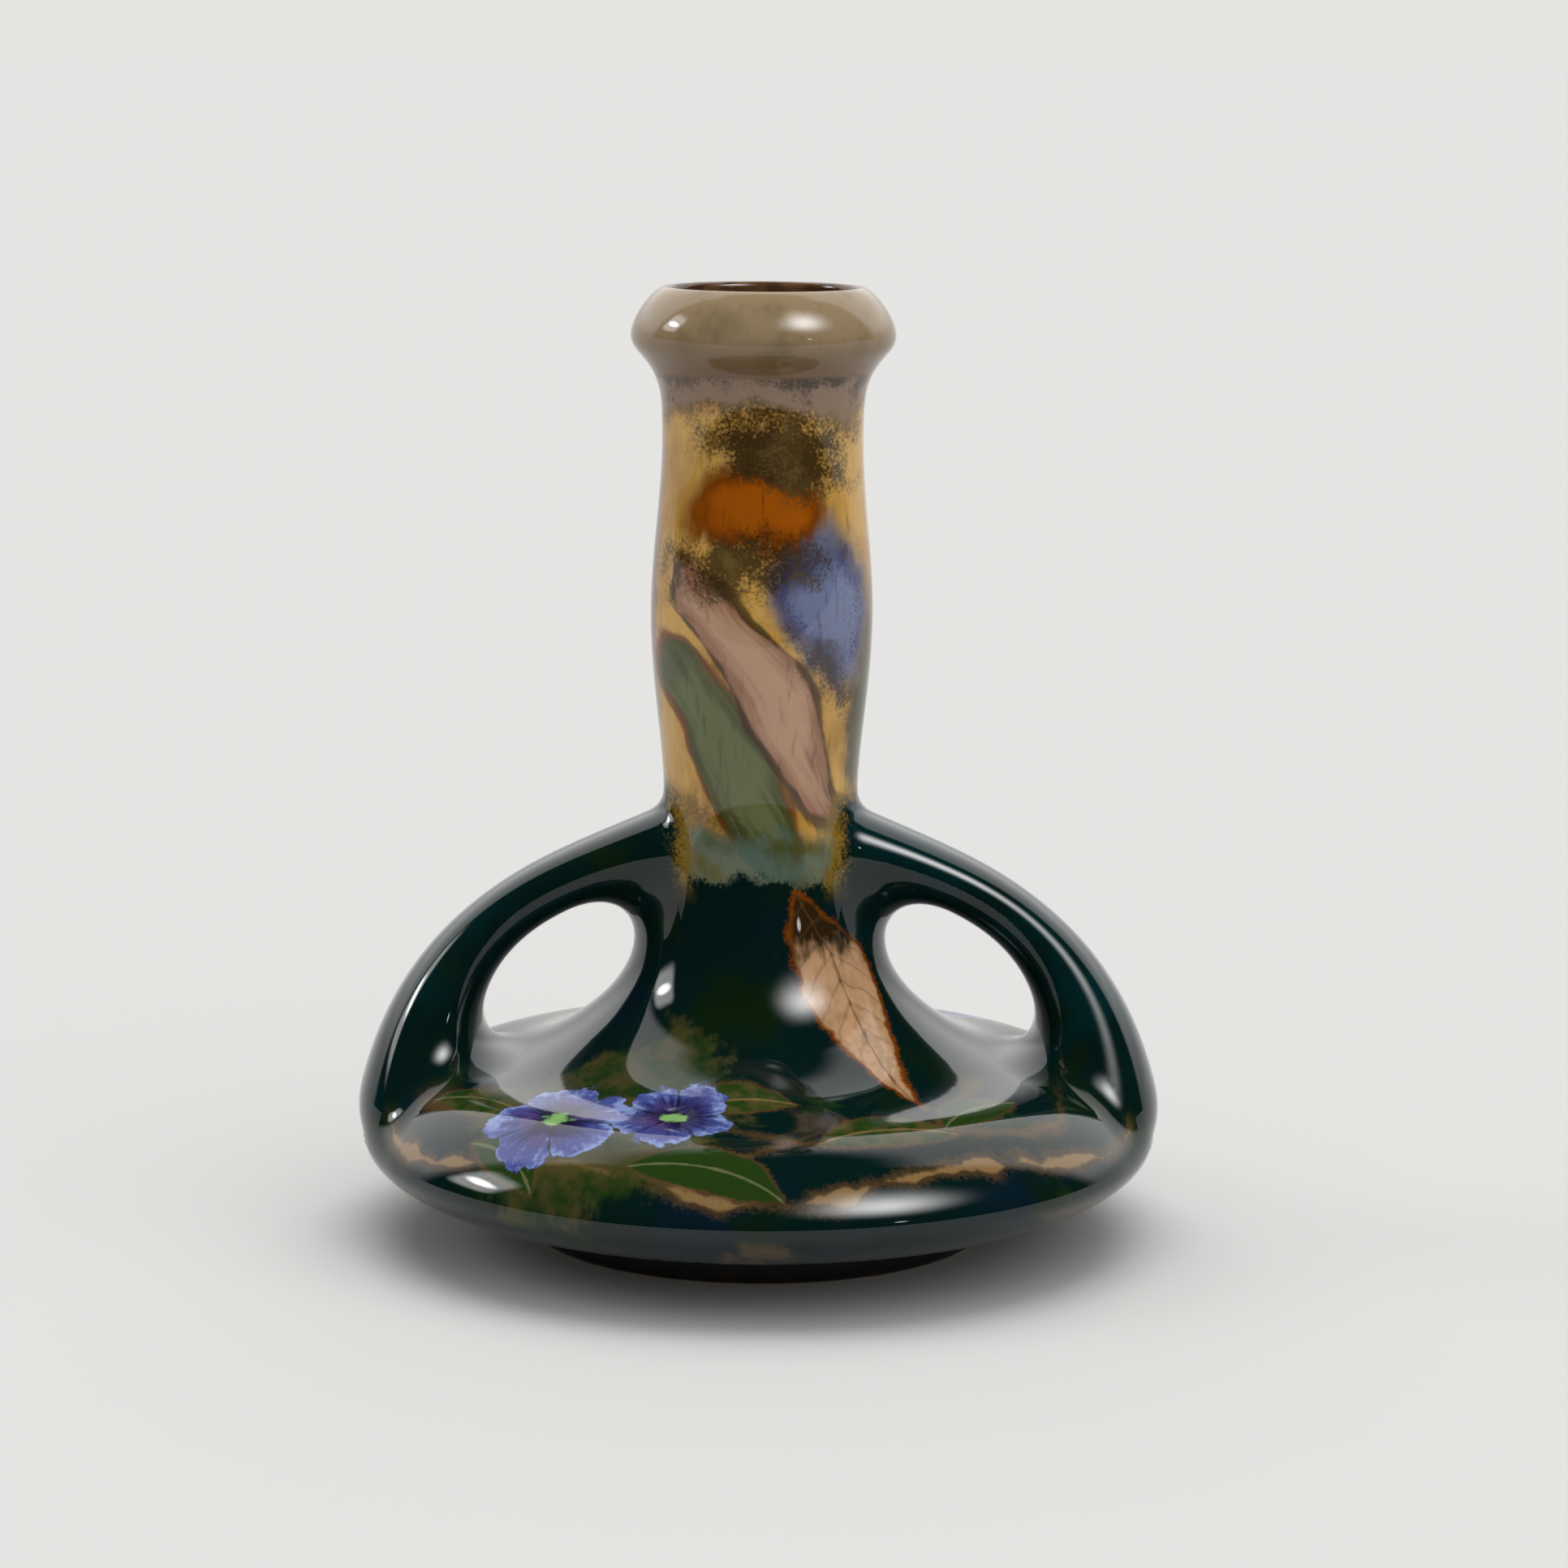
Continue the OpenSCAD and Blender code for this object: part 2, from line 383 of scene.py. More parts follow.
POT_PLACE = place_group()


def edge_group(name, sponge):
    """A painted edge: depth is how far inside a shape a point is, softness how wide the paint scatters.

    A sponge leaves fine dabs, a brush leaves a soft edge that is ragged along its strokes.
    """
    tree, (depth, softness) = open_group(name, ["Depth", "Softness"])
    at = use(tree, POT_PLACE)
    grain = noise(at["Place"], 0.7, 2, 2.0) * 1.8 if sponge else at["Streak"] * 1.5
    level = depth / softness + noise(at["Place"], 4.5, 3, 1.0) * 1.3 + grain
    return close_group(tree, {"Mask": level.smooth(-0.5, 0.5)})


SPONGE, BRUSH = edge_group("sponged_edge", True), edge_group("brushed_edge", False)


def sponged(depth, softness):
    return use(depth.tree, SPONGE, depth=depth, softness=softness)["Mask"]


def brushed(depth, softness):
    return use(depth.tree, BRUSH, depth=depth, softness=softness)["Mask"]


# %% Blossom and leaf groups
def blossom_group():
    """A five-petalled flower: across and along in mm from its middle, size is the petals' reach."""
    tree, (across, along, size, spin) = open_group("blossom", ["Across", "Along", "Size", "Spin"])
    reach = span(across, along)
    turn = across.maths("ARCTAN2", along) + spin
    place = use(tree, POT_PLACE)["Place"]
    ripple = noise(place, 3.2, 3, 4.0)
    bent = turn + noise(place, 12, 1, 4.5) * 0.7
    lobe = abs((bent * 2.5).maths("COSINE"))
    edge = (lobe ** 0.5 * 0.28 + 0.72 + ripple * 0.6) * size
    depth = edge - reach
    petals = depth.smooth(-0.3, 0.3)
    between = (lobe * reach - ripple * 2.4 - 0.2).smooth(0.9, 0.1) * petals
    outline = (abs(depth) - ripple * 1.2).smooth(0.5, 0.1)
    return close_group(tree, {
        "Petals": petals,
        "Line": outline.maths("MAXIMUM", between),
        "Shade": reach / edge,
        "Eye": (reach / size + ripple * 0.5).smooth(0.2, 0.11),
        "Vein": noise(vector(turn * 8, reach * 0.14), 1, 3, 5.0),
    })


def leaf_group():
    """A pointed leaf: along runs from -length to length, across is measured from the midrib."""
    tree, (across, along, length, width) = open_group("leaf", ["Across", "Along", "Length", "Width"])
    ripple = noise(use(tree, POT_PLACE)["Place"], 4, 3, 6.0)
    share = along / length
    off_rib = abs(across + share * share * width * 0.5)
    depth = (1 - share * share) * width - off_rib + ripple * 2.2
    return close_group(tree, {"Depth": depth, "Rib": (off_rib + ripple).smooth(0.5, 0.1)})


BLOSSOM, LEAF = blossom_group(), leaf_group()

# %% [markdown]
# ## The painting
#
# The decoration is our own: a blossom pair with leaves on the front and the back of the shoulder, a tan
# leaf on the flare beside it, winding broken vines round the body, and washes and sweeps of colour on an
# ochre neck. The colours are those of the photograph. It is painted as a decorator would, with washes,
# sponge dabs and streaks, so that no edge is ruled. The body, the neck, the rim and the handles share
# the painting and must meet without a step.

# %% Neck strokes
OCHRE, OCHRE_DEEP, OCHRE_PALE = srgb(202, 158, 82), srgb(174, 130, 62), srgb(208, 178, 118)
UMBER, OLIVE_BROWN = srgb(46, 32, 14), srgb(86, 72, 40)
ORANGE, RUST = srgb(160, 82, 8), srgb(112, 56, 8)
VIOLET_GREY, VIOLET, FROST = srgb(108, 102, 110), srgb(68, 68, 110), srgb(136, 148, 178)
SALMON, SALMON_DEEP = srgb(184, 148, 120), srgb(150, 108, 84)
MOSS, MOSS_PALE, TEAL_GREY = srgb(72, 76, 42), srgb(102, 108, 70), srgb(84, 104, 92)
MAUVE, OLIVE_TAUPE, RIM_DARK = srgb(138, 114, 96), srgb(144, 124, 95), srgb(114, 89, 64)
HAIR_STRETCH = 0.1


def oval(along, across, wide, tall):
    """Depth in mm inside an oval with the given half axes."""
    return (1 - span(along / wide, across / tall)) * min(wide, tall)


def wash(at, colour, depth, outer, inner, soft):
    """Paints a cloud that runs from one colour into another; soft is how far its edge fades, in mm."""
    paint = blend((depth + at["Wobble"] * 9).smooth(0.5, 5.5), outer, inner)
    edge = depth + at["Streak"] * 3 + at["Wobble"] * 2
    return blend(edge.smooth(-soft, soft), colour, paint)


def sweep(at, colour, along, across, wide, tall, seed, outer, inner, edge):
    """One long brush stroke with hair marks along it and a fine broken line round it."""
    marks = noise(vector(along * HAIR_STRETCH, across), 1.5, 2, seed)
    depth = oval(along, across, wide, tall) + marks * 1.6
    paint = blend((depth + marks * 8 + at["Wobble"] * 6).smooth(0.5, 5), outer, inner)
    colour = blend(depth.smooth(-0.6, 0.6), colour, paint)
    line = (0.6 - abs(depth) + at["Wobble"] * 4).smooth(-0.4, 0.6)
    strokes = marks.smooth(0.08, 0.22) * depth.smooth(4, 1) * depth.smooth(-0.5, 0.5)
    return blend(line.maths("MAXIMUM", strokes * 0.8) * 0.8, colour, edge)


def dabs(at, colour, depth, strength):
    """Sponges umber with olive flecks over the colour."""
    umber = blend(sponged(at["Wobble"] * 12 - 2, 4), UMBER, OLIVE_BROWN)
    return blend(sponged(depth + at["Wobble"] * 5, 6) * strength, colour, umber)


print("a violet wash as linear colour:", [round(c, 3) for c in VIOLET])

# %% Neck paint
NECK_CELLS, NECK_R = 2, 22.0
TEAL_TO, MAUVE_FROM = WAIST_Z - 6, COLLAR_Z - 6.5
DRIPS_FROM, TAUPE_FROM = COLLAR_Z - 1, COLLAR_Z + 1
# middle round the neck, middle above the waist, half width, half height (mm), lean (degrees)
NECK_CLOUDS = {
    "violet edge": (-33, 37, 6, 32, 4),
    "moss edge": (29, 17, 7, 26, -6),
    "violet": (14, 42, 12, 19, -18),
    "frost": (14, 41, 6, 14, -20),
    "moss sweep": (-8, 8, 30, 9, 52),
    "salmon sweep": (2, 22, 31, 8, 54),
    "orange": (-2, 60, 14, 9, -10),
}
# the same five, then the strength of the dabs
NECK_DABS = (
    (4, 72, 15, 7, 10, 0.95),
    (-3, 49, 16, 4.5, -8, 0.9),
    (16, 26, 12, 4, 45, 0.8),
    (-12, -7, 14, 4, 20, 0.6),
)


def rim_colour(at):
    """The mottled olive taupe of the rim, darker towards the collar."""
    colour = blend(at["Height"].smooth(TOP_Z - 8, TOP_Z - 16), OLIVE_TAUPE, RIM_DARK)
    colour = blend(noise(at["Place"], 9, 3, 11.0).smooth(-0.02, 0.2) * 0.4, colour, OLIVE_BROWN)
    return blend(noise(at["Place"], 1.2, 2, 11.5).smooth(0.1, 0.22) * 0.3, colour, RIM_DARK)


def neck_colour(at):
    """The neck's painting from the ground up, with the mauve band and the rim's glaze at the top."""
    place, height, wobble, streak = (at[name] for name in ("Place", "Height", "Wobble", "Streak"))
    half = math.pi / NECK_CELLS * NECK_R
    arc, rise = at["Turn"] * NECK_R, height - WAIST_Z
    ragged = arc + noise(place, 15, 3, 7.0) * 18, rise + noise(place, 18, 3, 8.0) * 20 + streak * 4
    flowing = arc + noise(place, 24, 1, 7.5) * 20, rise + noise(place, 28, 1, 8.5) * 24

    def from_middle(hand, x, z, lean):
        """Distances in mm along and across a leaning line through a cloud's middle."""
        return leaned((hand[0] - x).maths("WRAP", half, -half), hand[1] - z, lean)

    def cloud(x, z, wide, tall, lean):
        """Depth in mm inside a ragged leaning patch."""
        return oval(*from_middle(ragged, x, z, lean), wide, tall)

    def washed(colour, name, outer, inner, soft):
        return wash(at, colour, cloud(*NECK_CLOUDS[name]), outer, inner, soft)

    def swept(colour, name, outer, inner, edge):
        x, z, wide, tall, lean = NECK_CLOUDS[name]
        along, across = from_middle(flowing, x, z, lean)
        return sweep(at, colour, along, across, wide, tall, x, outer, inner, edge)

    colour = blend(noise(place, 16, 3, 9.0).smooth(-0.1, 0.16), OCHRE, OCHRE_DEEP)
    colour = blend(streak.smooth(0, 0.3) * 0.5, colour, OCHRE_PALE)
    colour = washed(colour, "violet edge", VIOLET_GREY, SALMON_DEEP, 3)
    colour = washed(colour, "moss edge", OLIVE_BROWN, MOSS, 2)
    colour = washed(colour, "violet", VIOLET_GREY, VIOLET, 2.5)
    colour = blend(sponged(cloud(*NECK_CLOUDS["frost"]), 6) * 0.55, colour, FROST)
    colour = swept(colour, "moss sweep", MOSS, MOSS_PALE, RUST)
    colour = swept(colour, "salmon sweep", SALMON_DEEP, SALMON, UMBER)
    colour = washed(colour, "orange", RUST, ORANGE, 2)
    for *where, strength in NECK_DABS:
        colour = dabs(at, colour, cloud(*where), strength)
    low = TEAL_TO - height + noise(place, 16, 2, 28.0) * 30
    mossy = blend(wobble.smooth(-0.08, 0.12), TEAL_GREY, MOSS)
    colour = blend((low + streak * 4).smooth(-3, 3) * 0.9, colour, mossy)
    colour = blend(streak.smooth(-0.08, -0.3) * 0.45, colour, UMBER)
    high = height - MAUVE_FROM + noise(place, 13, 2, 29.0) * 20
    colour = dabs(at, colour, high + 1.5, 0.7)
    colour = blend((high + streak * 3).smooth(-0.5, 2) * 0.92, colour, MAUVE)
    colour = dabs(at, colour, height - DRIPS_FROM + noise(place, 7, 2, 29.5) * 26, 0.85)
    return blend((height - TAUPE_FROM + wobble * 1.5).smooth(-0.6, 0.6), colour, rim_colour(at))


def paint_group(name, colour_at):
    """A group with one colour: colour_at gets the wires that say where a point lies."""
    tree, _ = open_group(name)
    return close_group(tree, {"Colour": colour_at(use(tree, POT_PLACE))})


NECK_PAINT = paint_group("neck_paint", neck_colour)

# %% Body motifs
TEAL_BLACK, GREEN_BLACK, NAVY = srgb(5, 26, 25), srgb(12, 30, 12), srgb(8, 26, 36)
TAN, SAND, SAND_DARK = srgb(184, 144, 108), srgb(136, 108, 68), srgb(84, 62, 36)
LEAF_GREEN, LEAF_OLIVE, LEAF_PALE = srgb(34, 56, 18), srgb(72, 68, 34), srgb(112, 114, 78)
PETAL_DARK, PETAL_VIOLET = srgb(36, 32, 76), srgb(74, 60, 110)
PETAL_BLUE, PETAL_PALE = srgb(66, 76, 138), srgb(126, 142, 190)
EYE, LINE = srgb(126, 168, 98), srgb(14, 14, 20)


def vine(at, colour, skin, middle, swing, waves, phase, width, paint):
    """Paints a broken line that winds round the body, swing mm to both sides of a middle radius."""
    wound = (at["Turn"] * waves + phase).maths("SINE") * swing + middle
    depth = width - abs(skin - wound + at["Wobble"] * 5) + noise(at["Place"], 14, 2, phase) * 9
    clear = at["Front"].smooth(20, 32)
    colour = blend(sponged(depth + 1, 2.5) * clear * 0.6, colour, SAND_DARK)
    return blend(brushed(depth - 0.6, 1) * clear * 0.8, colour, paint)


def leaf(at, colour, dx, dy, aim, length, width, blade, rib):
    """Paints one leaf that points along aim degrees, from the distances to its middle."""
    across, along = leaned(dx, dy, aim)
    drawn = use(dx.tree, LEAF, across=across, along=along, length=length, width=width)
    shaded = blend(noise(at["Place"], 5, 3, 16.0).smooth(-0.1, 0.1), blade, LEAF_GREEN)
    shaded = blend(drawn["Rib"] * 0.6, shaded, rib)
    colour = blend(sponged(drawn["Depth"] + 0.8, 1.4) * 0.7, colour, SAND_DARK)
    return blend(brushed(drawn["Depth"], 0.8), colour, shaded)


def blossom(at, colour, dx, dy, size, spin):
    """Paints one blossom: violet in its heart, frosted towards the petals' edges."""
    drawn = use(dx.tree, BLOSSOM, across=dx, along=dy, size=size, spin=spin)
    shade, vein = drawn["Shade"], drawn["Vein"]
    deep = blend(noise(at["Place"], 9, 2, 17.0).smooth(-0.06, 0.08), PETAL_DARK, PETAL_VIOLET)
    petal = blend((shade + vein * 0.9).smooth(0.4, 0.85), deep, PETAL_BLUE)
    frost = shade + vein * 0.6 + noise(at["Place"], 6, 2, 17.2) + noise(at["Place"], 1.6, 2, 17.5) * 0.7
    petal = blend(frost.smooth(0.74, 1.1), petal, PETAL_PALE)
    petal = blend(drawn["Line"] * 0.75, petal, LINE)
    petal = blend((shade + vein).smooth(0.42, 0.2) * 0.7, petal, LINE)
    petal = blend(drawn["Eye"], petal, EYE)
    return blend(drawn["Petals"], colour, petal)


print("a petal's blue as linear colour:", [round(c, 3) for c in PETAL_BLUE])

# %% Body paint
CLUSTERS, CLUSTER_AT, CLUSTER_R = 2, math.radians(-30), 62.0
HALF_CELL = math.pi / CLUSTERS
EDGE_FROM, EDGE_SHARE = BELLY_Z + 14.5, 0.45
TAN_LEAF_AT, TAN_LEAF_Z = math.radians(38), THROAT_Z - 9
TAN_LEAF_LENGTH, TAN_LEAF_WIDTH, TAN_LEAF_LEAN = 19, 9, 0.12
# middle radius, swing (mm), waves round the body, phase, half width (mm), colour
VINES = (
    (83, 3, 6, 1.4, 1.0, SAND),
    (62, 9, 4, 0.4, 0.6, LEAF_OLIVE),
    (69, 6, 6, 2.6, 0.4, SAND_DARK),
)
# middle across the cluster and outwards (mm), aim (degrees), half length, half width (mm), blade, rib
LEAVES = (
    (-30, -3, 74, 15, 6, LEAF_OLIVE, LEAF_PALE),
    (30, 9, 100, 17, 6, LEAF_GREEN, LEAF_PALE),
    (20, -16, 125, 13, 5, LEAF_OLIVE, SAND),
    (-14, 17, 60, 12, 5, LEAF_GREEN, LEAF_PALE),
    (52, -22, 140, 15, 6, LEAF_OLIVE, SAND),
    (60, -44, 172, 12, 5, LEAF_GREEN, LEAF_PALE),
)
# middle across the cluster and outwards, reach of the petals (mm), spin (radians)
BLOSSOMS = ((13, -5, 13, 0.9), (-9, 4, 16, 0.2))


def tan_leaf(at, colour):
    """The tan leaf that hangs on the flare, umber at its top, with veins and a rusty edge."""
    height, wobble = at["Height"], at["Wobble"]
    rise = height - TAN_LEAF_Z + wobble * 5
    side = (at["Turn"] - TAN_LEAF_AT).maths("WRAP", HALF_CELL, -HALF_CELL) * at["Radius"]
    side = side + rise * TAN_LEAF_LEAN + wobble * 3
    drawn = use(rise.tree, LEAF, across=side, along=rise, length=TAN_LEAF_LENGTH, width=TAN_LEAF_WIDTH)
    blade = blend(brushed(wobble * 9 + at["Streak"] * 3, 3) * 0.5, TAN, SAND)
    blade = blend(brushed(height - TAN_LEAF_Z - 7 + wobble * 10, 7), blade, UMBER)
    veins = ((abs(side) * 0.8 + rise) * 1.3 + wobble * 4).maths("SINE").smooth(0.75, 1)
    blade = blend((drawn["Rib"] + veins * 0.5) * 0.6, blade, SAND_DARK)
    colour = blend(sponged(drawn["Depth"] + 1.1, 1.6), colour, RUST)
    return blend(brushed(drawn["Depth"], 1), colour, blade)


def body_colour(at):
    """The body's painting: dark ground, vines, moss, leaves, blossoms and the tan leaf, plain underneath."""
    place, height, wobble, radius = (at[name] for name in ("Place", "Height", "Wobble", "Radius"))
    skin = radius + (EDGE_FROM - height).maths("MAXIMUM", 0) * EDGE_SHARE
    local = (at["Turn"] - CLUSTER_AT).maths("WRAP", HALF_CELL, -HALF_CELL)
    across = skin * local.maths("SINE")
    along = skin * local.maths("COSINE") - CLUSTER_R
    colour = blend(noise(place, 24, 2, 12.0).smooth(-0.02, 0.16), TEAL_BLACK, GREEN_BLACK)
    colour = blend(noise(place, 17, 2, 13.0).smooth(0.02, 0.2), colour, NAVY)
    colour = blend(brushed(noise(place, 15, 3, 15.0) * 26 - 4, 4) * 0.5, colour, LEAF_GREEN)
    strokes = (at["Turn"] * 7 + height * 0.09 + noise(place, 30, 1, 18.0) * 6).maths("SINE")
    streaks = brushed(strokes * 3.2 - 2.9 + wobble * 2, 0.6) * radius.smooth(UNDER_R - 1, UNDER_R + 9)
    underside = blend(streaks * 0.3, colour, SAND)
    for row in VINES:
        colour = vine(at, colour, skin, *row)
    near = 27 - span(across, along) + noise(place, 15, 3, 15.2) * 40
    mossy = blend(brushed(wobble * 14, 4), LEAF_GREEN, LEAF_OLIVE)
    colour = blend(brushed(near, 7) * 0.7, colour, mossy)
    for x, y, *shape in LEAVES:
        colour = leaf(at, colour, across - x, along - y, *shape)
    for x, y, size, spin in BLOSSOMS:
        colour = blossom(at, colour, across - x, along - y, size, spin)
    colour = tan_leaf(at, colour)
    return blend((height + wobble * 5).smooth(BELLY_Z - 0.5, BELLY_Z - 4.5), colour, underside)


BODY_PAINT = paint_group("body_paint", body_colour)

# %% [markdown]
# ## Glazes
#
# One group joins the two paintings and lets the dark handle glaze creep onto the neck with a yellow
# speckled edge. The materials darken the inside and the handles, and leave the foot's standing face
# bare. The glaze itself is a smooth dielectric: a low roughness and a hardly visible waviness, which
# makes the lamps' reflections tremble a little, as they do on fired pots.

# %% Glaze groups
HANDLE_DARK, HANDLE_TEAL, HANDLE_GREEN = srgb(5, 26, 24), srgb(4, 35, 37), srgb(13, 30, 15)
SPECKLE = srgb(132, 102, 28)
NECK_FROM, CREEP_SIDE, CLIMB_FROM, CLIMB_RATE = THROAT_Z + 12, 16.5, WAIST_Z - 4, 0.12


def dark_colour(at):
    """The handles' dark glaze, which pools from teal to green."""
    colour = blend(noise(at["Place"], 22, 2, 24.0).smooth(-0.06, 0.12), HANDLE_DARK, HANDLE_TEAL)
    return blend(noise(at["Place"], 16, 2, 25.0).smooth(0.02, 0.18), colour, HANDLE_GREEN)


DARK_GLAZE = paint_group("dark_glaze", dark_colour)


def vase_colour(at):
    """The body's painting, the neck's above it, and the dark glaze that creeps over both at the sides."""
    height, wobble = at["Height"], at["Wobble"]
    body, neck, dark = (use(height.tree, g)["Colour"] for g in (BODY_PAINT, NECK_PAINT, DARK_GLAZE))
    colour = blend(sponged(height - NECK_FROM + wobble * 12, 2.5), body, neck)
    climb = (height - CLIMB_FROM).maths("MAXIMUM", 0)
    creep = at["Side"] - CREEP_SIDE - climb * climb * CLIMB_RATE + wobble * 4
    creep = creep + height.smooth(THROAT_Z + 2, THROAT_Z - 6) * 30
    edge = sponged(creep + 2.2, 3.5) * height.smooth(THROAT_Z + 6, THROAT_Z + 16)
    colour = blend(edge * 0.9, colour, SPECKLE)
    return blend(sponged(creep - 0.8, 5) * height.smooth(THROAT_Z - 4, THROAT_Z + 4), colour, dark)


VASE_PAINT = paint_group("vase_paint", vase_colour)


def glaze_group():
    """The fired surface: roughness that varies a little and a faint waviness."""
    tree, _ = open_group("glaze_skin")
    place = use(tree, POT_PLACE)["Place"]
    return close_group(tree, {
        "Roughness": noise(place, 14, 2, 20.0) * 0.03 + 0.045,
        "Height": noise(place, 16, 1, 21.0) + noise(place, 3, 1, 22.0) * 0.06,
    })


GLAZE_SKIN = glaze_group()

# %% Glaze materials
MOUTH_BROWN, MOUTH_PALE = srgb(72, 48, 30), srgb(104, 76, 50)
FOOT_DARK, FOOT_BROWN = srgb(14, 16, 16), srgb(32, 24, 18)
CLAY, CLAY_PALE = srgb(170, 132, 100), srgb(192, 158, 124)
GLAZE_IOR, WAVE_STRENGTH, WAVE_DEPTH = 1.46, 0.25, 0.4 * MM


def glaze(name, colour_of):
    """A glazed material: colour_of gets the tree and gives the wire to paint with."""
    material = bpy.data.materials.new(name)
    material.use_nodes = True
    tree = material.node_tree
    shader = tree.nodes["Principled BSDF"]
    shader.inputs["IOR"].default_value = GLAZE_IOR
    skin = use(tree, GLAZE_SKIN)
    bump = tree.nodes.new("ShaderNodeBump")
    bump.inputs["Strength"].default_value = WAVE_STRENGTH
    bump.inputs["Distance"].default_value = WAVE_DEPTH
    feed(tree, skin["Height"], bump.inputs["Height"])
    tree.links.new(bump.outputs[0], shader.inputs["Normal"])
    feed(tree, skin["Roughness"], shader.inputs["Roughness"])
    feed(tree, colour_of(tree), shader.inputs["Base Color"])
    return material


def mark_of(tree, name):
    """The value of a mesh attribute as a wire."""
    node = tree.nodes.new("ShaderNodeAttribute")
    node.attribute_name = name
    return Wire(tree, node.outputs["Fac"])


def painted(tree):
    """The painting outside and a mottled brown in the mouth and the inside."""
    mottle = noise(use(tree, POT_PLACE)["Place"], 4, 3, 23.0)
    mouth = blend(mottle.smooth(-0.1, 0.15), MOUTH_BROWN, MOUTH_PALE)
    return blend(mark_of(tree, "inner"), use(tree, VASE_PAINT)["Colour"], mouth)


def painted_handle(tree):
    """Dark glaze, which gives way to the painting where the handle runs out into the pot."""
    away = mark_of(tree, "off_pot").smooth(0.5, 4)
    return blend(away, use(tree, VASE_PAINT)["Colour"], use(tree, DARK_GLAZE)["Colour"])


def foot_colour(tree):
    """A dark glaze that leaves the clay bare where the foot stands."""
    at = use(tree, POT_PLACE)
    grain = noise(at["Place"], 5, 3, 26.0)
    glazed = blend(grain.smooth(-0.05, 0.15), FOOT_DARK, FOOT_BROWN)
    bare = blend(grain.smooth(-0.15, 0.15), CLAY, CLAY_PALE)
    return blend((at["Height"] + at["Wobble"] * 0.4).smooth(0.5, 0.3), glazed, bare)


body_glaze, neck_glaze, rim_glaze = (glaze(f"{part}_glaze", painted) for part in ("body", "neck", "rim"))
handle_glaze = glaze("handle_glaze", painted_handle)
foot_glaze = glaze("foot_glaze", foot_colour)
print("glazes:", [m.name for m in bpy.data.materials])

# %% [markdown]
# ## Turning the pot with Geometry Nodes
#
# All the thrown pieces follow one rule: spin a section round the axis. Blender's Screw modifier could do
# it, but a small node tree shows the rule itself. A grid is bent so that its rows follow the section's
# points and its columns go once round, and the seam and the poles are then merged. The tree is built
# once and every piece only hands it another section.

# %% The lathe tree
TURN_COLUMNS = 240
MERGE_M = 1e-6


def lathe_tree():
    """The tree that spins a section, handed over as a row of points, once round the axis."""
    tree = bpy.data.node_groups.new("lathe", "GeometryNodeTree")
    for name, kind in (("Section", "Geometry"), ("Columns", "Int"), ("Glaze", "Material")):
        tree.interface.new_socket(name, in_out="INPUT", socket_type=f"NodeSocket{kind}")
    tree.interface.new_socket("Piece", in_out="OUTPUT", socket_type="NodeSocketGeometry")

    def add(kind, inputs, **settings):
        """Adds a node with its settings, and links its inputs or sets them to plain values."""
        node = tree.nodes.new(kind)
        for name, value in settings.items():
            setattr(node, name, value)
        for name, value in inputs.items():
            if isinstance(value, bpy.types.NodeSocket):
                tree.links.new(value, node.inputs[name])
            else:
                node.inputs[name].default_value = value
        return node.outputs

    def maths(operation, a, b=0.0):
        return add("ShaderNodeMath", {0: a, 1: b}, operation=operation)[0]

    entry = add("NodeGroupInput", {})
    position = add("GeometryNodeInputPosition", {})[0]
    rows = add("GeometryNodeAttributeDomainSize", {0: entry["Section"]}, component="MESH")["Point Count"]
    columns = maths("ADD", entry["Columns"], 1)
    sizes = {"Size X": 1, "Size Y": 1, "Vertices X": columns, "Vertices Y": rows}
    piece = add("GeometryNodeMeshGrid", sizes)["Mesh"]
    place = add("ShaderNodeSeparateXYZ", {0: position})
    turn = maths("MULTIPLY", maths("ADD", place["X"], 0.5), 2 * math.pi)
    row = maths("MULTIPLY", maths("ADD", place["Y"], 0.5), maths("SUBTRACT", rows, 1))
    point = {"Geometry": entry["Section"], "Value": position, "Index": maths("ROUND", row)}
    point = add("GeometryNodeSampleIndex", point, data_type="FLOAT_VECTOR", domain="POINT")[0]
    point = add("ShaderNodeSeparateXYZ", {0: point})
    side = maths("MULTIPLY", point["X"], maths("SINE", turn))
    back = maths("MULTIPLY", maths("MULTIPLY", point["X"], maths("COSINE", turn)), -1)
    spun = add("ShaderNodeCombineXYZ", {"X": side, "Y": back, "Z": point["Z"]})[0]
    for kind, inputs in (
        ("GeometryNodeSetPosition", {"Position": spun}),
        ("GeometryNodeMergeByDistance", {"Distance": MERGE_M}),
        ("GeometryNodeSetShadeSmooth", {}),
        ("GeometryNodeRealizeInstances", {}),
        ("GeometryNodeSetMaterial", {"Material": entry["Glaze"]}),
    ):
        piece = add(kind, {"Geometry": piece, **inputs})[0]
    add("NodeGroupOutput", {"Piece": piece})
    return tree


LATHE = lathe_tree()
print("lathe tree:", len(LATHE.nodes), "nodes")

# %% Normals that the glaze can trust
FLAT_ANGLE = 40
# outward part of a normal below which it points at the axis
FACES_AXIS = -0.05


def counts_of(items, name):
    """A whole number of each corner or face of a mesh."""
    values = np.empty(len(items), np.int32)
    items.foreach_get(name, values)
    return values


def vectors_of(items, name):
    """A vector of each vertex or face of a mesh."""
    values = np.empty(len(items) * 3, np.float32)
    items.foreach_get(name, values)
    return values.reshape(-1, 3).astype(float)


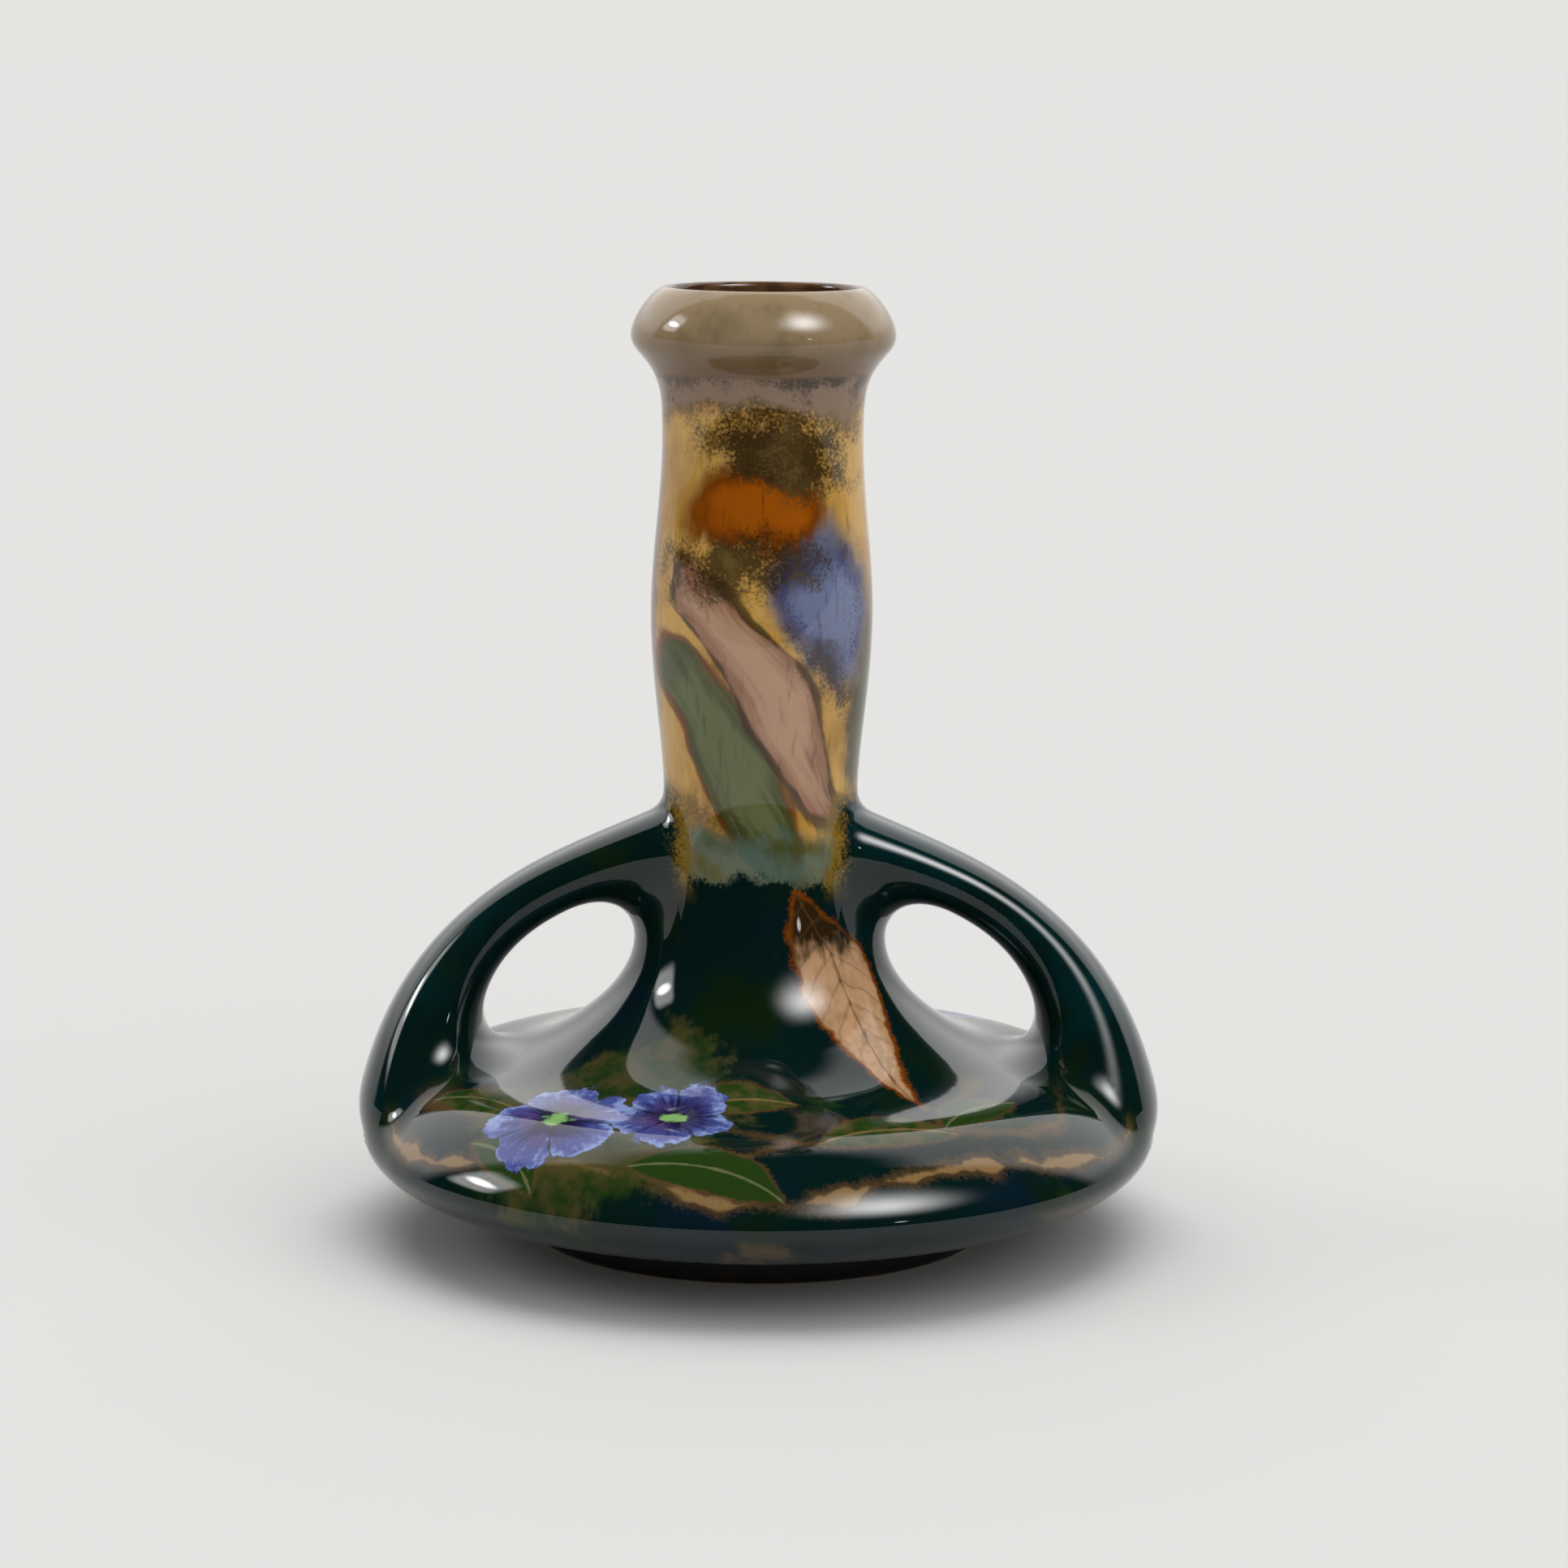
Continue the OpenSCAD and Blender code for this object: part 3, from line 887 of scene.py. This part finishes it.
def shade(mesh, own, angle):
    """Gives each corner its vertex's own normal, but its face's where they are more than an angle apart."""
    corner = counts_of(mesh.loops, "vertex_index")
    sides = counts_of(mesh.polygons, "loop_total")
    chosen = np.repeat(vectors_of(mesh.polygons, "normal"), sides, axis=0)
    near = (own[corner] * chosen).sum(1) > math.cos(math.radians(angle))
    chosen[near] = own[corner][near]
    mesh.normals_split_custom_set([tuple(n) for n in chosen])


def mark(mesh, name, values):
    """Writes one value for each vertex into the mesh, for the materials to read."""
    mesh.attributes.new(name, "FLOAT", "POINT").data.foreach_set("value", values.astype(np.float32))


def nearest_on(points, line, chunk=3000):
    """Index of the nearest point of a line, for each 2-D point."""
    found = np.empty(len(points), int)
    for start in range(0, len(points), chunk):
        part = points[start:start + chunk]
        gap = ((part[:, None, :] - line[None, :, :]) ** 2).sum(2)
        found[start:start + chunk] = gap.argmin(1)
    return found


def flattened(place):
    """Points in space as radius and height."""
    return np.stack([np.hypot(place[:, 0], place[:, 1]), place[:, 2]], axis=1)


def swung(flat, place):
    """Directions given as outwards and up, swung round the axis to where each place is."""
    radius = np.maximum(np.hypot(place[:, 0], place[:, 1]), 1e-6)[:, None]
    return np.hstack([flat[:, :1] * place[:, :2] / radius, flat[:, 1:]])


def true_normals(mesh, points, normals):
    """Gives a turned mesh its section's own normals, so that two pieces shade as one across a joint.

    The inside is marked too: there the normal points at the axis, above the base.
    """
    place = vectors_of(mesh.vertices, "co") / MM
    out = normals[nearest_on(flattened(place), points)]
    shade(mesh, swung(out, place), FLAT_ANGLE)
    mark(mesh, "inner", (out[:, 0] < FACES_AXIS) & (place[:, 2] > FOOT_TOP + 0.5))


print("a face keeps its own normal past", FLAT_ANGLE, "degrees")

# %% Turning a section
def set_input(modifier, name, value):
    """Sets a tree's input by the identifier of its socket."""
    for item in modifier.node_group.interface.items_tree:
        if item.in_out == "INPUT" and item.name == name:
            modifier[item.identifier] = value


def plain_mesh(piece):
    """Turns a piece with modifiers into one with a plain mesh."""
    depsgraph = bpy.context.evaluated_depsgraph_get()
    mesh = bpy.data.meshes.new_from_object(piece.evaluated_get(depsgraph))
    mesh.name = piece.name
    piece.modifiers.clear()
    piece.data = mesh


def turned(name, glaze, points, normals):
    """One thrown piece from its section: points in mm, outward normals, in order."""
    mesh = bpy.data.meshes.new(name)
    mesh.from_pydata([(r * MM, 0, z * MM) for r, z in points], [], [])
    piece = placed(name, mesh)
    modifier = piece.modifiers.new("lathe", "NODES")
    modifier.node_group = LATHE
    set_input(modifier, "Columns", TURN_COLUMNS)
    set_input(modifier, "Glaze", glaze)
    plain_mesh(piece)
    true_normals(piece.data, points, normals)
    print(f"{name}: {len(piece.data.polygons)} faces")
    return piece


print("inputs of the lathe:", [item.name for item in LATHE.interface.items_tree if item.in_out == "INPUT"])

# %% [markdown]
# ## The clay sections
#
# Each section is a strip of the profile: up the outside, across the joint, down the inside and back
# across the other joint. Neighbours end on the very same ring, the middle of the slip layer between
# them, so no gap shows under the glaze.

# %% Lines of a section
def cut_line(line, low, high):
    """The part of a profile line between two heights, with its ends exactly on them."""
    points, normals = line
    rising = points[:, 1]
    keep = (rising > low + 1e-4) & (rising < high - 1e-4)
    ends = np.array([[np.interp(z, rising, points[:, 0]), z] for z in (low, high)])
    out = scaled(np.array([[np.interp(z, rising, normals[:, i]) for i in (0, 1)] for z in (low, high)]))
    return np.vstack([ends[:1], points[keep], ends[1:]]), np.vstack([out[:1], normals[keep], out[1:]])


def joined(*lines):
    """Several lines end to end, each of them points and normals."""
    return [np.vstack(rows) for rows in zip(*lines)]


def backwards(line):
    """A line walked from its end to its start, with its normals on the other side."""
    return line[0][::-1], -line[1][::-1]


def ring(*lines):
    """A section that ends where it starts."""
    points, normals = joined(*lines)
    return joined((points, normals), (points[:1], normals[:1]))


def round_edge(centre, radius, first, last, count=9):
    """An arc from one angle to another: points and outward normals."""
    out = unit(np.linspace(first, last, count))
    return np.array(centre) + radius * out, out


print("points of a rounded edge:", len(round_edge((0, 0), 1, 0, 90)[0]))

# %% Thrown pieces
MOUTH_R, MOUTH_REACH, MOUTH_POINTS = 19.5, 5, 25
wall_names = list(STATIONS)[:9]


def mouth_line():
    """The inside of the rim, from the neck's inner wall up and over the lip's inner edge."""
    collar, lip_r = STATIONS["collar"], STATIONS["lip"][0]
    start = np.array(collar[:2]) - WALL * unit(collar[2] - 90)
    bend = lip_r - MOUTH_R
    edge = np.array([MOUTH_R, TOP_Z - bend])
    curve = [start, start + MOUTH_REACH * unit(collar[2]), edge - [0, MOUTH_REACH], edge]
    points, ways = bezier(curve, np.linspace(0, 1, MOUTH_POINTS))
    over, over_out = round_edge((lip_r, TOP_Z - bend), bend, 180, 90)
    return joined((points, out_of(ways)), (over[1:], -over_out[1:]))


outer_wall = line_through(wall_names[1:] + ["rim", "lip"])
inner_wall = joined(line_through(wall_names[1:], -WALL), [rows[1:] for rows in mouth_line()])


def thrown_ring(name, glaze, low, high):
    """The ring of clay between two heights of the wall."""
    outside, inside = (cut_line(wall, low, high) for wall in (outer_wall, inner_wall))
    return turned(name, glaze, *ring(outside, backwards(inside)))


shoulder = thrown_ring("shoulder_clay", body_glaze, BELLY_Z, THROAT_Z)
neck = thrown_ring("neck_clay", neck_glaze, THROAT_Z, COLLAR_Z)
rim = thrown_ring("rim_clay", rim_glaze, COLLAR_Z, TOP_Z)


def flat_floor(z):
    """A flat line from the axis to the bowl, with its normals down."""
    radius = np.linspace(0, UNDER_R, 12)[:-1]
    return np.stack([radius, np.full(len(radius), z)], axis=1), np.tile([0.0, -1.0], (len(radius), 1))


bowl_out, bowl_in = (line_through(wall_names[:2], grow) for grow in (0, -WALL))
bowl = joined(flat_floor(FOOT_TOP), bowl_out, backwards(bowl_in), backwards(flat_floor(FOOT_TOP + WALL)))
base = turned("base_clay", body_glaze, *bowl)

# %% Foot ring
FOOT_OUT = frame_mm("foot_ring", 1, "x")
FOOT_IN = FOOT_OUT - 9
FOOT_ROUND = 2.0

foot_top = np.array([[FOOT_OUT, FOOT_TOP], [FOOT_IN, FOOT_TOP]]), np.array([[1.0, 0.0], [-1.0, 0.0]])
foot_section = ring(
    round_edge((FOOT_IN + FOOT_ROUND, FOOT_ROUND), FOOT_ROUND, 180, 270),
    round_edge((FOOT_OUT - FOOT_ROUND, FOOT_ROUND), FOOT_ROUND, 270, 360),
    foot_top,
)
foot = turned("foot_clay", foot_glaze, *foot_section)

# %% [markdown]
# ## Handles that grow out of the clay
#
# A pulled handle is pressed on and its ends are smoothed into the pot with a wet thumb, so there is no
# line where it starts. A swept tube cut off at the pot would show a hard crease. Here the handle and the
# pot are each a distance field, the two are blended with a soft minimum, and a net of quads is wrapped
# round the result. Every corner is then pulled exactly onto the blended surface, which also gives the
# true normals for the glaze.

# %% Handle sizes
ROOT = np.array([18.2, WAIST_Z - 13.4])
ROOT_REACH, ROOT_HEADING = 21, -8.2
HEEL = np.array([BELLY_R - 12.97, BELLY_Z + 5.5])
HEEL_REACH, HEEL_HEADING = 39.8, 86.2
HANDLE_PATH = [ROOT, ROOT + ROOT_REACH * unit(ROOT_HEADING), HEEL + HEEL_REACH * unit(HEEL_HEADING), HEEL]
# size at the slimmest place, at the root and at the heel (mm)
THICK = (12.0, 19.5, 30.4)
DEPTH = (20.0, 25.0, 52.0)
SLIM_AT, SPREAD_POWER, SECTION_POWER = 0.4, 2.3, 2.4
TUCK_FROM, TUCK_RATE = 0.95, 27
HEEL_SINK = 0.3


def spread(sizes, t):
    """A size that is slim at one place along the handle and spreads towards root and heel."""
    slim, at_root, at_heel = sizes
    to_root = np.clip((SLIM_AT - t) / SLIM_AT, 0, 1) ** SPREAD_POWER
    to_heel = np.clip((t - SLIM_AT) / (1 - SLIM_AT), 0, None) ** SPREAD_POWER
    size = slim + (at_root - slim) * to_root + (at_heel - slim) * to_heel
    return size * (1 - TUCK_RATE * np.clip(t - TUCK_FROM, 0, None) ** 2)


print("handle at its slimmest, at half way and at the heel:", spread(THICK, np.array([SLIM_AT, 0.5, 1])))

# %% Distance fields
POT_LINE = line_through(list(STATIONS)[:8], step=0.4)
# the handle's path runs on into the pot, before its root and past its heel
PATH_FROM, PATH_TO = -0.25, 1.0625
PATH_T = np.linspace(PATH_FROM, PATH_TO, 300)
PATH_POINTS = bezier(HANDLE_PATH, PATH_T)[0]
FAR_INSIDE = -1e3


def pot_field(p):
    """Signed distance to the pot's outside and its outward direction, at 3-D points in mm."""
    points, normals = POT_LINE
    flat = flattened(p)
    i = nearest_on(flat, points)
    n = normals[i]
    tangent = -out_of(n)
    gap = flat - points[i]
    along = (gap * tangent).sum(1)
    before, after = np.maximum(i - 1, 0), np.minimum(i + 1, len(points) - 1)
    turn = normals[after] - normals[before]
    bend = (turn * tangent).sum(1) / np.linalg.norm(points[after] - points[before], axis=1)
    distance = (gap * n).sum(1) + 0.5 * bend * along**2
    return distance, swung(scaled(n + (bend * along)[:, None] * tangent), p)


def handle_field(p):
    """Signed distance to the right handle's surface, to first order."""
    flat = p[:, [0, 2]]
    t = PATH_T[nearest_on(flat, PATH_POINTS)]
    for _ in range(3):
        middle, way = bezier(HANDLE_PATH, t)
        t = t + ((flat - middle) * way).sum(1) / (way**2).sum(1)
        t = np.clip(t, PATH_FROM, PATH_TO)
    middle, way = bezier(HANDLE_PATH, t)
    u = np.abs(((flat - middle) * out_of(way)).sum(1))
    v = np.abs(p[:, 1])
    a, b = spread(THICK, t) / 2, spread(DEPTH, t) / 2
    m = SECTION_POWER
    level = np.maximum((u / a) ** m + (v / b) ** m, 1e-9) ** (1 / m)
    slope = level ** (1 - m) * np.hypot((u / a) ** (m - 1) / a, (v / b) ** (m - 1) / b)
    beyond = np.where(t >= PATH_TO, ((flat - PATH_POINTS[-1]) * scaled(way)).sum(1), FAR_INSIDE)
    distance = np.maximum((level - 1) / np.maximum(slope, 1e-6), beyond)
    return distance + HEEL_SINK * np.clip(BELLY_Z - p[:, 2], 0, None)


def gradient(field, p, step=0.04):
    """Direction in which a field grows, from small steps to both sides."""
    shifts = step * np.eye(3)
    return np.stack([(field(p + s) - field(p - s)) / (2 * step) for s in shifts], axis=1)


beside_heel = np.array([[HEEL[0] + 20, 0, HEEL[1]]])
print(f"20 mm beside the heel's middle, the handle is {handle_field(beside_heel)[0]:.1f} mm away")

# %% The soft blend
BLEND_ABOVE, BLEND_BELOW = 6.5, 17.0
FACING_GAIN, OUTER_LESS, BELLY_FADE = 1.25, 0.6, 3


def blended(p):
    """The soft minimum of pot and handle, its direction, and how far a point is past the blend.

    The blend reaches furthest in the crook under the handle. It is narrow where handle and pot face the
    same way and on the handle's outer side, and ends at the belly.
    """
    pot, pot_out = pot_field(p)
    arm, arm_out = handle_field(p), scaled(gradient(handle_field, p))
    facing = (pot_out * arm_out).sum(1)
    reach = BLEND_BELOW + (BLEND_ABOVE - BLEND_BELOW) * (1 + arm_out[:, 2]) / 2
    reach = reach * np.clip(FACING_GAIN * (1 - facing), 0.1, 1)
    reach = reach * (1 - OUTER_LESS * np.clip(arm_out[:, 0], 0, 1))
    reach = reach * np.clip((p[:, 2] - BELLY_Z + BELLY_FADE) / BELLY_FADE, 0.01, 1)
    near = np.clip(1 - np.abs(pot - arm) / reach, 0, 1)
    value = np.minimum(pot, arm) - near**2 * reach / 4
    share = np.where(pot < arm, near / 2, 1 - near / 2)[:, None]
    return value, scaled((1 - share) * pot_out + share * arm_out), arm - pot - reach


def settle(points, rounds):
    """Pulls points onto the blended surface."""
    for _ in range(rounds):
        value, out, _ = blended(points)
        points = points - value[:, None] * out
    return points


crook = settle(np.array([[35.0, 0.0, BELLY_Z + 35]]), 3)
print("a point in the crook settles at", crook.round(2))

# %% Wrapping a net round a field
def surface_net(values, low, step):
    """Quads round the zero level of a grid: one corner in each mixed cell, one face per crossed edge."""
    inside = values < 0
    shape = np.array(values.shape) - 1
    corners = [np.array(c) for c in np.ndindex(2, 2, 2)]

    def window(c):
        return inside[c[0]:c[0] + shape[0], c[1]:c[1] + shape[1], c[2]:c[2] + shape[2]]

    count = sum(window(c).astype(int) for c in corners)
    cells = np.argwhere((count > 0) & (count < 8))
    index = np.full(tuple(shape), -1)
    index[tuple(cells.T)] = np.arange(len(cells))
    total, hits = np.zeros((len(cells), 3)), np.zeros(len(cells))
    for c in corners:
        for axis in np.flatnonzero(c == 0):
            d = c.copy()
            d[axis] = 1
            first, last = values[tuple((cells + c).T)], values[tuple((cells + d).T)]
            crossed = (first < 0) != (last < 0)
            t = np.where(crossed, first / np.where(crossed, first - last, 1), 0)
            total += crossed[:, None] * (c + t[:, None] * (d - c))
            hits += crossed
    quads = []
    for axis in range(3):
        b, c = (axis + 1) % 3, (axis + 2) % 3
        change = np.diff(inside.astype(int), axis=axis)
        at = np.argwhere(change != 0)
        at = at[(at[:, b] > 0) & (at[:, c] > 0) & (at[:, b] < shape[b]) & (at[:, c] < shape[c])]
        corner_cells = []
        for db, dc in ((-1, -1), (0, -1), (0, 0), (-1, 0)):
            cell = at.copy()
            cell[:, b] += db
            cell[:, c] += dc
            corner_cells.append(index[tuple(cell.T)])
        quad = np.stack(corner_cells, axis=1)
        flip = change[tuple(at.T)] < 0
        quad[flip] = quad[flip][:, ::-1]
        quads.append(quad)
    return low + step * (cells + total / hits[:, None]), np.concatenate(quads)


def relax(points, quads, rounds):
    """Evens out the net: corners slide along the surface towards the middle of their neighbours."""
    pairs = np.concatenate([quads[:, [k, (k + 1) % 4]] for k in range(4)])
    for _ in range(rounds):
        total, hits = np.zeros_like(points), np.zeros(len(points))
        for a, b in ((0, 1), (1, 0)):
            np.add.at(total, pairs[:, a], points[pairs[:, b]])
            np.add.at(hits, pairs[:, a], 1)
        middle = total / np.maximum(hits, 1)[:, None]
        points = settle(points + 0.5 * (middle - points), 1)
    return points


def largest_patch(quads):
    """The largest set of faces that hang together by their edges."""
    faces_at = {}
    for i, quad in enumerate(quads.tolist()):
        for k in range(4):
            faces_at.setdefault(frozenset((quad[k], quad[k - 1])), []).append(i)
    near = [[] for _ in quads]
    for faces in faces_at.values():
        for i in faces:
            near[i] += faces
    left, best = set(range(len(quads))), []
    while left:
        patch = [left.pop()]
        for i in patch:
            fresh = left.intersection(near[i])
            patch.extend(fresh)
            left -= fresh
        best = max(best, patch, key=len)
    return quads[sorted(best)]


print("largest of two patches:", len(largest_patch(np.array([[0, 1, 2, 3], [2, 3, 4, 5], [6, 7, 8, 9]]))))

# %% The handle net
NET_STEP = 0.9
# margins in mm: the blend is worked out this near to it, and the net is kept this far past it
NEAR_BLEND, PAST_BLEND = 2, 0.3
# a box round the right handle
net_low = np.array([6, -38, BELLY_Z - 9.5])
net_high = np.array([92, 38, WAIST_Z + 9])

axes = [np.arange(a, b, NET_STEP) for a, b in zip(net_low, net_high)]
grid = np.stack(np.meshgrid(*axes, indexing="ij"), axis=-1)
spots = grid.reshape(-1, 3)
values = handle_field(spots)
close = np.flatnonzero(values < BLEND_BELOW + NEAR_BLEND)
values[close] = np.minimum(values[close], pot_field(spots[close])[0])
skin = close[np.abs(values[close]) < BLEND_BELOW / 4 + 2 * NET_STEP]
values[skin] = blended(spots[skin])[0]
net_points, net_quads = surface_net(values.reshape(grid.shape[:3]), net_low, NET_STEP)
net_points = settle(relax(settle(net_points, 4), net_quads, 3), 2)
past = blended(net_points)[2]
net_points = settle(net_points, 1)
net_quads = largest_patch(net_quads[(past < PAST_BLEND)[net_quads].all(1)])
print("handle net:", len(net_points), "points", len(net_quads), "faces kept")

# %% Handle pieces
PLUG_MM = 0.8
PLUG_ANGLE = 60


def plug(mesh, points, pot_out):
    """Closes the net: its open edge is drawn a little way into the pot and covered there."""
    built = bmesh.new()
    built.from_mesh(mesh)
    open_edges = [e for e in built.edges if e.is_boundary]
    grown = bmesh.ops.extrude_edge_only(built, edges=open_edges)["geom"]
    for vert in (g for g in grown if isinstance(g, bmesh.types.BMVert)):
        i = ((points * MM - np.array(vert.co)) ** 2).sum(1).argmin()
        vert.co -= Vector(pot_out[i] * PLUG_MM * MM)
    bmesh.ops.holes_fill(built, edges=[e for e in built.edges if e.is_boundary], sides=0)
    bmesh.ops.triangulate(built, faces=[f for f in built.faces if len(f.verts) > 4])
    bmesh.ops.recalc_face_normals(built, faces=built.faces)
    built.to_mesh(mesh)
    built.free()


def handle_piece(name, side, glaze):
    """A handle from the net: side is 1 for the right one and -1 for its mirror image."""
    used, quads = np.unique(net_quads, return_inverse=True)
    quads = quads.reshape(-1, 4)[:, ::side]
    mirror = np.array([side, 1, 1])
    points = net_points[used] * mirror
    mesh = bpy.data.meshes.new(name)
    mesh.from_pydata([tuple(p * MM) for p in points], [], [tuple(q) for q in quads])
    plug(mesh, points, pot_field(net_points[used])[1] * mirror)
    mesh.materials.append(glaze)
    mesh.shade_smooth()
    place = vectors_of(mesh.vertices, "co") / MM
    own = np.zeros_like(place)
    own[:len(points)] = blended(net_points[used])[1] * mirror
    shade(mesh, own, PLUG_ANGLE)
    mark(mesh, "off_pot", pot_field(place)[0])
    print(f"{name}: {len(mesh.polygons)} faces")
    return placed(name, mesh)


right_handle = handle_piece("right_handle_clay", 1, handle_glaze)
left_handle = handle_piece("left_handle_clay", -1, handle_glaze)

# %% [markdown]
# ## Studio
#
# The vase stands on pale paper. The reflections in the photograph show a wide soft lamp to the right of
# the camera with a small bulb under it, a narrow lamp at the far left, and a pale wall behind; the rest
# of the room is dark. Three sun lamps light the scene evenly. What the glaze mirrors is drawn into the
# world instead: its shader looks different to mirror rays than to the camera.

# %% Floor and suns
PAPER = (0.56, 0.557, 0.547)
FLOOR_SIDE, FLOOR_FRONT, FLOOR_BACK = 30, -0.62, 60
# azimuth to the right of the camera's side, elevation (degrees)
SOFT_LAMP, SIDE_LAMP, TOP_LAMP, BULB = (46, 48), (-96, 30), (180, 72), (41, 13)

paper = bpy.data.materials.new("floor_paper")
paper.use_nodes = True
paper_shader = paper.node_tree.nodes["Principled BSDF"]
paper_shader.inputs["Base Color"].default_value = (*PAPER, 1)
paper_shader.inputs["Roughness"].default_value = 1
paper_shader.inputs["Specular IOR Level"].default_value = 0
sheet = bpy.data.meshes.new("floor")
corners = ((-1, FLOOR_FRONT), (1, FLOOR_FRONT), (1, FLOOR_BACK), (-1, FLOOR_BACK))
sheet.from_pydata([(side * FLOOR_SIDE, y, 0) for side, y in corners], [], [(0, 1, 2, 3)])
sheet.materials.append(paper)
floor = placed("floor", sheet)


def sun(name, azimuth, elevation, strength, width):
    """An even light from one side; width is how large the lamp looks, in degrees."""
    a, e = math.radians(azimuth), math.radians(elevation)
    towards = Vector((math.sin(a) * math.cos(e), -math.cos(a) * math.cos(e), math.sin(e)))
    data = bpy.data.lights.new(name, "SUN")
    data.energy = strength
    data.angle = math.radians(width)
    lamp = placed(name, data)
    lamp.rotation_euler = towards.to_track_quat("Z", "Y").to_euler()
    lamp.visible_glossy = False
    print(f"{name}: strength {strength}, {width} degrees wide")


sun("soft_lamp", *SOFT_LAMP, 1.3, 80)
sun("side_lamp", *SIDE_LAMP, 0.4, 25)
sun("top_lamp", *TOP_LAMP, 2.0, 60)

# %% World
BACKGROUND = srgb(229, 228, 226)
FILL, DARK_ROOM = 0.42, 0.004
BACK_WALL_LOW, BACK_WALL_HIGH = 0.78, 1.55
# lamp, half width, half height (degrees), roundness of the outline, core, fall of the light, brightness
MIRRORED_LAMPS = (
    (SOFT_LAMP, 46, 27, 2, 0, 2, 17),
    (SIDE_LAMP, 9, 4, 2, 0.5, 1, 18),
    (SIDE_LAMP, 12, 13, 4, 0.6, 1, 5),
    (BULB, 2.5, 2, 2, 0.5, 1, 12),
)


def studio_world():
    """What the camera, the glaze and everything else see round the scene."""
    world = bpy.data.worlds.new("studio")
    world.use_nodes = True
    tree = world.node_tree
    rays = tree.nodes.new("ShaderNodeLightPath").outputs
    x, y, z = axes_of(Wire(tree, tree.nodes.new("ShaderNodeTexCoord").outputs["Generated"]))
    level = span(x, y)

    def lamp_face(azimuth, elevation, wide, tall, power, core):
        """A lamp as a patch of sky: 1 in its core, 0 past its half width and height in degrees."""
        a = math.radians(azimuth)
        turn = (x * math.cos(a) + y * math.sin(a)).maths("ARCTAN2", x * math.sin(a) - y * math.cos(a))
        rise = z.maths("ARCTAN2", level) - math.radians(elevation)
        h, v = abs(turn) / math.radians(wide), abs(rise) / math.radians(tall)
        return ((h ** power + v ** power) ** (1 / power)).smooth(1, core)

    # the wall stands behind the vase, up to nearly overhead, and is brightest at the top
    wall = (y / level).smooth(0.28, 0.42) * z.smooth(0.95, 0.88)
    mirrored = wall * (z.smooth(0.08, 0.32) * (BACK_WALL_HIGH - BACK_WALL_LOW) + BACK_WALL_LOW) + DARK_ROOM
    for lamp, wide, tall, power, core, fall, brightness in MIRRORED_LAMPS:
        mirrored = mirrored + lamp_face(*lamp, wide, tall, power, core) ** fall * brightness
    seen = blend(Wire(tree, rays["Is Glossy Ray"]), (FILL, FILL, FILL), mirrored)
    seen = blend(Wire(tree, rays["Is Camera Ray"]), seen, BACKGROUND)
    feed(tree, seen, tree.nodes["Background"].inputs["Color"])
    return world


bpy.context.scene.world = studio_world()
bpy.context.scene.view_settings.view_transform = "Standard"
print("mirrored lamps:", len(MIRRORED_LAMPS))

# %% [markdown]
# ## Riding on the frame
#
# A fired vase has no moving part, so every piece rides on the one body. Each clay piece stands for its
# solid in the imported model and for the slip layer that the glaze hides.

# %% Pieces ride on the frame
PIECES = {
    foot: ("foot_glaze", ["foot_ring", "foot_slip"]),
    base: ("body_glaze", ["base_bowl"]),
    shoulder: ("body_glaze", ["shoulder", "belly_slip"]),
    neck: ("neck_glaze", ["neck", "neck_slip"]),
    rim: ("rim_glaze", ["rim_collar", "rim_slip"]),
    left_handle: ("handle_glaze", ["left_handle", "left_handle_slip"]),
    right_handle: ("handle_glaze", ["right_handle", "right_handle_slip"]),
}
for piece, (slot, solids) in PIECES.items():
    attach(piece, "root")
    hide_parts(*solids)
    print(piece.name, "stands for", ", ".join(solids))
